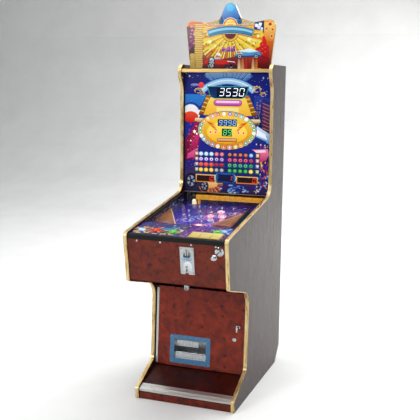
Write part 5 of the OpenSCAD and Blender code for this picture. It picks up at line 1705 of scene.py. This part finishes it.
class PACHINKO_OT_token_tray(bpy.types.Operator):
    """Token tray: rolled lip, swinging flap and the wire mesh behind it"""

    bl_idname = "pachinko.token_tray"
    bl_label = "Token tray"

    def execute(self, context):
        middle, half = -49.0, 90.0
        # DOOR heights are up the door; its outward distance is minus the depth
        roll = tube([DOOR.at(middle - half + 2 + k * 17.6, 46.6, -16.6) for k in range(11)], 2.4, 12)
        mesh = gathered("tray_lip_roll", [roll], FINISH["chrome"], edge_angle=60)
        finished("tray_lip_roll", mesh, "lower_door")
        self.flap()
        self.wire_mesh(context, middle, half)
        return {"FINISHED"}

    def flap(self):
        low, high = place_of("tray_flap")
        joint = JOINTS["tray_flap_swing"]
        hang = Datum(Vector(joint["pos_m"]) / MM, (1, 0, 0), (0, 0, 1))
        x0, x1 = low.x + 3.2, high.x - 3.2
        parts = [brick(hang, x0, -33.6, -0.7, x1, -1.0, 0.7, 0.3),
                 tube([hang.at(x0 + (x1 - x0) * k / 8, -32.2, 0.0) for k in range(9)], 1.7, 12),
                 tube([hang.at(low.x + 0.4, 0, 0), hang.at(0, 0, 0), hang.at(high.x - 0.4, 0, 0)], 1.9, 12)]
        mesh = gathered("tray_flap_plate", parts, FINISH["steel"], edge_angle=35)
        finished("tray_flap_plate", mesh, "tray_flap", ("tray_flap",))

    def wire_mesh(self, context, middle, half):
        """Woven wire across the back of the tray, made by Geometry Nodes."""
        tree = bpy.data.node_groups.new("woven_wire", "GeometryNodeTree")
        face = tree.interface
        face.new_socket("Points", in_out="INPUT", socket_type="NodeSocketGeometry")
        for name in ("Wire Diameter", "Wire Length"):
            face.new_socket(name, in_out="INPUT", socket_type="NodeSocketFloat")
        face.new_socket("Finish", in_out="INPUT", socket_type="NodeSocketMaterial")
        face.new_socket("Wires", in_out="OUTPUT", socket_type="NodeSocketGeometry")
        given = add(tree, "NodeGroupInput")
        radius = add(
            tree, "ShaderNodeMath", {0: given.outputs["Wire Diameter"], 1: 0.5}, operation="MULTIPLY"
        )
        wire = add(tree, "GeometryNodeMeshCylinder", {
            "Vertices": 8, "Radius": radius.outputs[0], "Depth": given.outputs["Wire Length"],
        })
        out = add(tree, "GeometryNodeInputNamedAttribute", {"Name": "Out"}, data_type="FLOAT_VECTOR")
        facing = add(
            tree, "FunctionNodeAlignRotationToVector", {"Vector": out.outputs["Attribute"]}, axis="Z"
        )
        placed = add(tree, "GeometryNodeInstanceOnPoints", {
            "Points": given.outputs["Points"], "Instance": wire.outputs["Mesh"], "Rotation": facing.outputs["Rotation"],
        })
        solid = add(tree, "GeometryNodeRealizeInstances", {"Geometry": placed.outputs["Instances"]})
        done = add(tree, "GeometryNodeSetMaterial", {
            "Geometry": solid.outputs["Geometry"], "Material": given.outputs["Finish"],
        })
        ending = add(tree, "NodeGroupOutput")
        tree.links.new(done.outputs["Geometry"], ending.inputs["Wires"])
        long_up = 64.0
        slope = (DOOR.u + DOOR.v).normalized()
        other = (DOOR.v - DOOR.u).normalized()
        points, outs = [], []
        for k in range(15):
            a = middle - half + 14 + k * 10.8
            for way in (slope, other):
                points.append(DOOR.at(a, 66, -62 - (0.6 if way is slope else -0.6)))
                outs.append(way)
        grown_from(tree, "tray_wire_mesh", points, outs, {
            "Wire Diameter": sizes(context).mesh_wire, "Wire Length": long_up * 0.9 * MM, "Finish": FINISH["steel"],
        }, "lower_door")


class PACHINKO_OT_locks(bpy.types.Operator):
    """Turning handle and cam lock of the lower door"""

    bl_idname = "pachinko.locks"
    bl_label = "Door handle and lock"

    def execute(self, context):
        x, z = 217.0, 222.0
        rose = [(0, -5.6), (9, -5.6), (9, -4.2), (8, -3.2), (6.2, -2.6), (6, 27), (0, 27.6)]
        inner = [(0, -48), (5.95, -48), (5.95, -5.6), (0, -5.6)]
        parts = [turned_shape(rose, DOOR, x, z, 32), turned_shape(inner, DOOR, x, z, 32),
                 brick(DOOR, x - 4, z - 20, 21.0, x + 4, z + 20, 28.0, 2.0),
                 brick(DOOR, x - 6, z + 0.2, -47.4, x + 6, z + 25.8, -44.7, 0.5)]
        mesh = gathered("door_handle_grip", parts, FINISH["chrome"], edge_angle=40)
        finished("door_handle_grip", mesh, "door_handle", ("door_handle",))
        x, z = 197.0, 155.0
        cylinder = [
            (0, -48), (9.4, -48), (9.4, -5.6), (11.4, -5.6), (11.4, -2.2), (10.2, -0.6), (7.4, -0.2),
            (7.0, -1.2), (0, -1.2)
        ]
        key_way = brick(DOOR, x - 0.9, z - 4, -1.25, x + 0.9, z + 4, -1.1, 0)
        parts = [turned_shape(cylinder, DOOR, x, z, 36),
                 brick(DOOR, x - 7, z + 0.2, -47.4, x + 7, z + 41.8, -44.7, 0.5)]
        mesh = gathered("door_lock_barrel", parts, FINISH["chrome"], edge_angle=34)
        finished("door_lock_barrel", mesh, "door_lock", ("door_lock",))
        mesh = gathered("door_lock_keyway", [key_way], FINISH["black_plastic"])
        finished("door_lock_keyway", mesh, "door_lock")
        return {"FINISHED"}


class PACHINKO_OT_screws(bpy.types.Operator):
    """Screws and rivets, grown on points by Geometry Nodes"""

    bl_idname = "pachinko.screws"
    bl_label = "Screws and rivets"

    def execute(self, context):
        tree = screw_tree()
        size = sizes(context)
        cabinet, door, rivets = [], [], []
        for side in (-1, 1):
            for z in (-59, 59):
                cabinet.append((FRONT.at(58 + side * 29, -117 + z, -2.0), FRONT.n))
            for a in (-79, 79):
                cabinet.append((DECK.at(132.5 + a, 36 if side < 0 else 106, -6.6), DECK.n))
            for z in (1062, 1340, 1650):
                cabinet.append(((Vector((side * 245.5, 185.0, z)) * MM), Vector((0, -1, 0))))
            for z in (20, 100):
                cabinet.append((Vector((side * 130, 287.5, 1699 + z)) * MM, Vector((0, 1, 0))))
            for z in (640, 1000, 1360, 1670):
                cabinet.append((Vector((side * 240, 472.0, z)) * MM, Vector((0, 1, 0))))
            for z in (0, 1):
                door.append((DOOR.at(-49 + side * 105, -3 + z * 137, -4.0), DOOR.n))
        for x in (-84, -49, -14):
            rivets.append((DOOR.at(x, 133, -4.0), DOOR.n))
        for name, spots, head, body in (
            ("cabinet_screws", cabinet, size.screw_head, "cabinet"),
            ("tray_frame_screws", door, size.screw_head, "lower_door"),
            ("tray_frame_rivets", rivets, size.rivet_head, "lower_door"),
        ):
            grown_from(tree, name, [p for p, n in spots], [n for p, n in spots], {
                "Head Diameter": head, "Head Height": head * 0.2, "Recess Width": head * 0.13, "Finish": FINISH["zinc"],
            }, body)
        return {"FINISHED"}


class PACHINKO_PT_panel(bpy.types.Panel):
    """Settings and steps of the pachinko machine"""

    bl_idname = "PACHINKO_PT_panel"
    bl_label = "Pachinko machine"
    bl_space_type = "VIEW_3D"
    bl_region_type = "UI"
    bl_category = "Pachinko"

    def draw(self, context):
        for group in (lights(context), sizes(context)):
            box = self.layout.box()
            for name in group.bl_rna.properties.keys():
                if name not in ("rna_type", "name"):
                    box.prop(group, name)
        column = self.layout.column(align=True)
        for step in STEPS:
            column.operator(step.bl_idname)


STEPS = (
    PACHINKO_OT_studio, PACHINKO_OT_finishes, PACHINKO_OT_head_glass, PACHINKO_OT_sign, PACHINKO_OT_field,
    PACHINKO_OT_bumpers, PACHINKO_OT_controls, PACHINKO_OT_coin_entry, PACHINKO_OT_shooter,
    PACHINKO_OT_token_tray, PACHINKO_OT_locks, PACHINKO_OT_screws,
)
GROUPS = {"light_looks": LightLooks, "fitting_sizes": FittingSizes}


def register():
    for kind in (*GROUPS.values(), *STEPS, PACHINKO_PT_panel):
        bpy.utils.register_class(kind)
    for name, kind in GROUPS.items():
        setattr(bpy.types.Scene, name, bpy.props.PointerProperty(type=kind))


def unregister():
    for name in GROUPS:
        delattr(bpy.types.Scene, name)
    for kind in (PACHINKO_PT_panel, *reversed(STEPS), *GROUPS.values()):
        bpy.utils.unregister_class(kind)


def main():
    register()
    for step in STEPS:
        group, name = step.bl_idname.split(".")
        getattr(getattr(bpy.ops, group), name)()


if __name__ == "__main__":
    main()
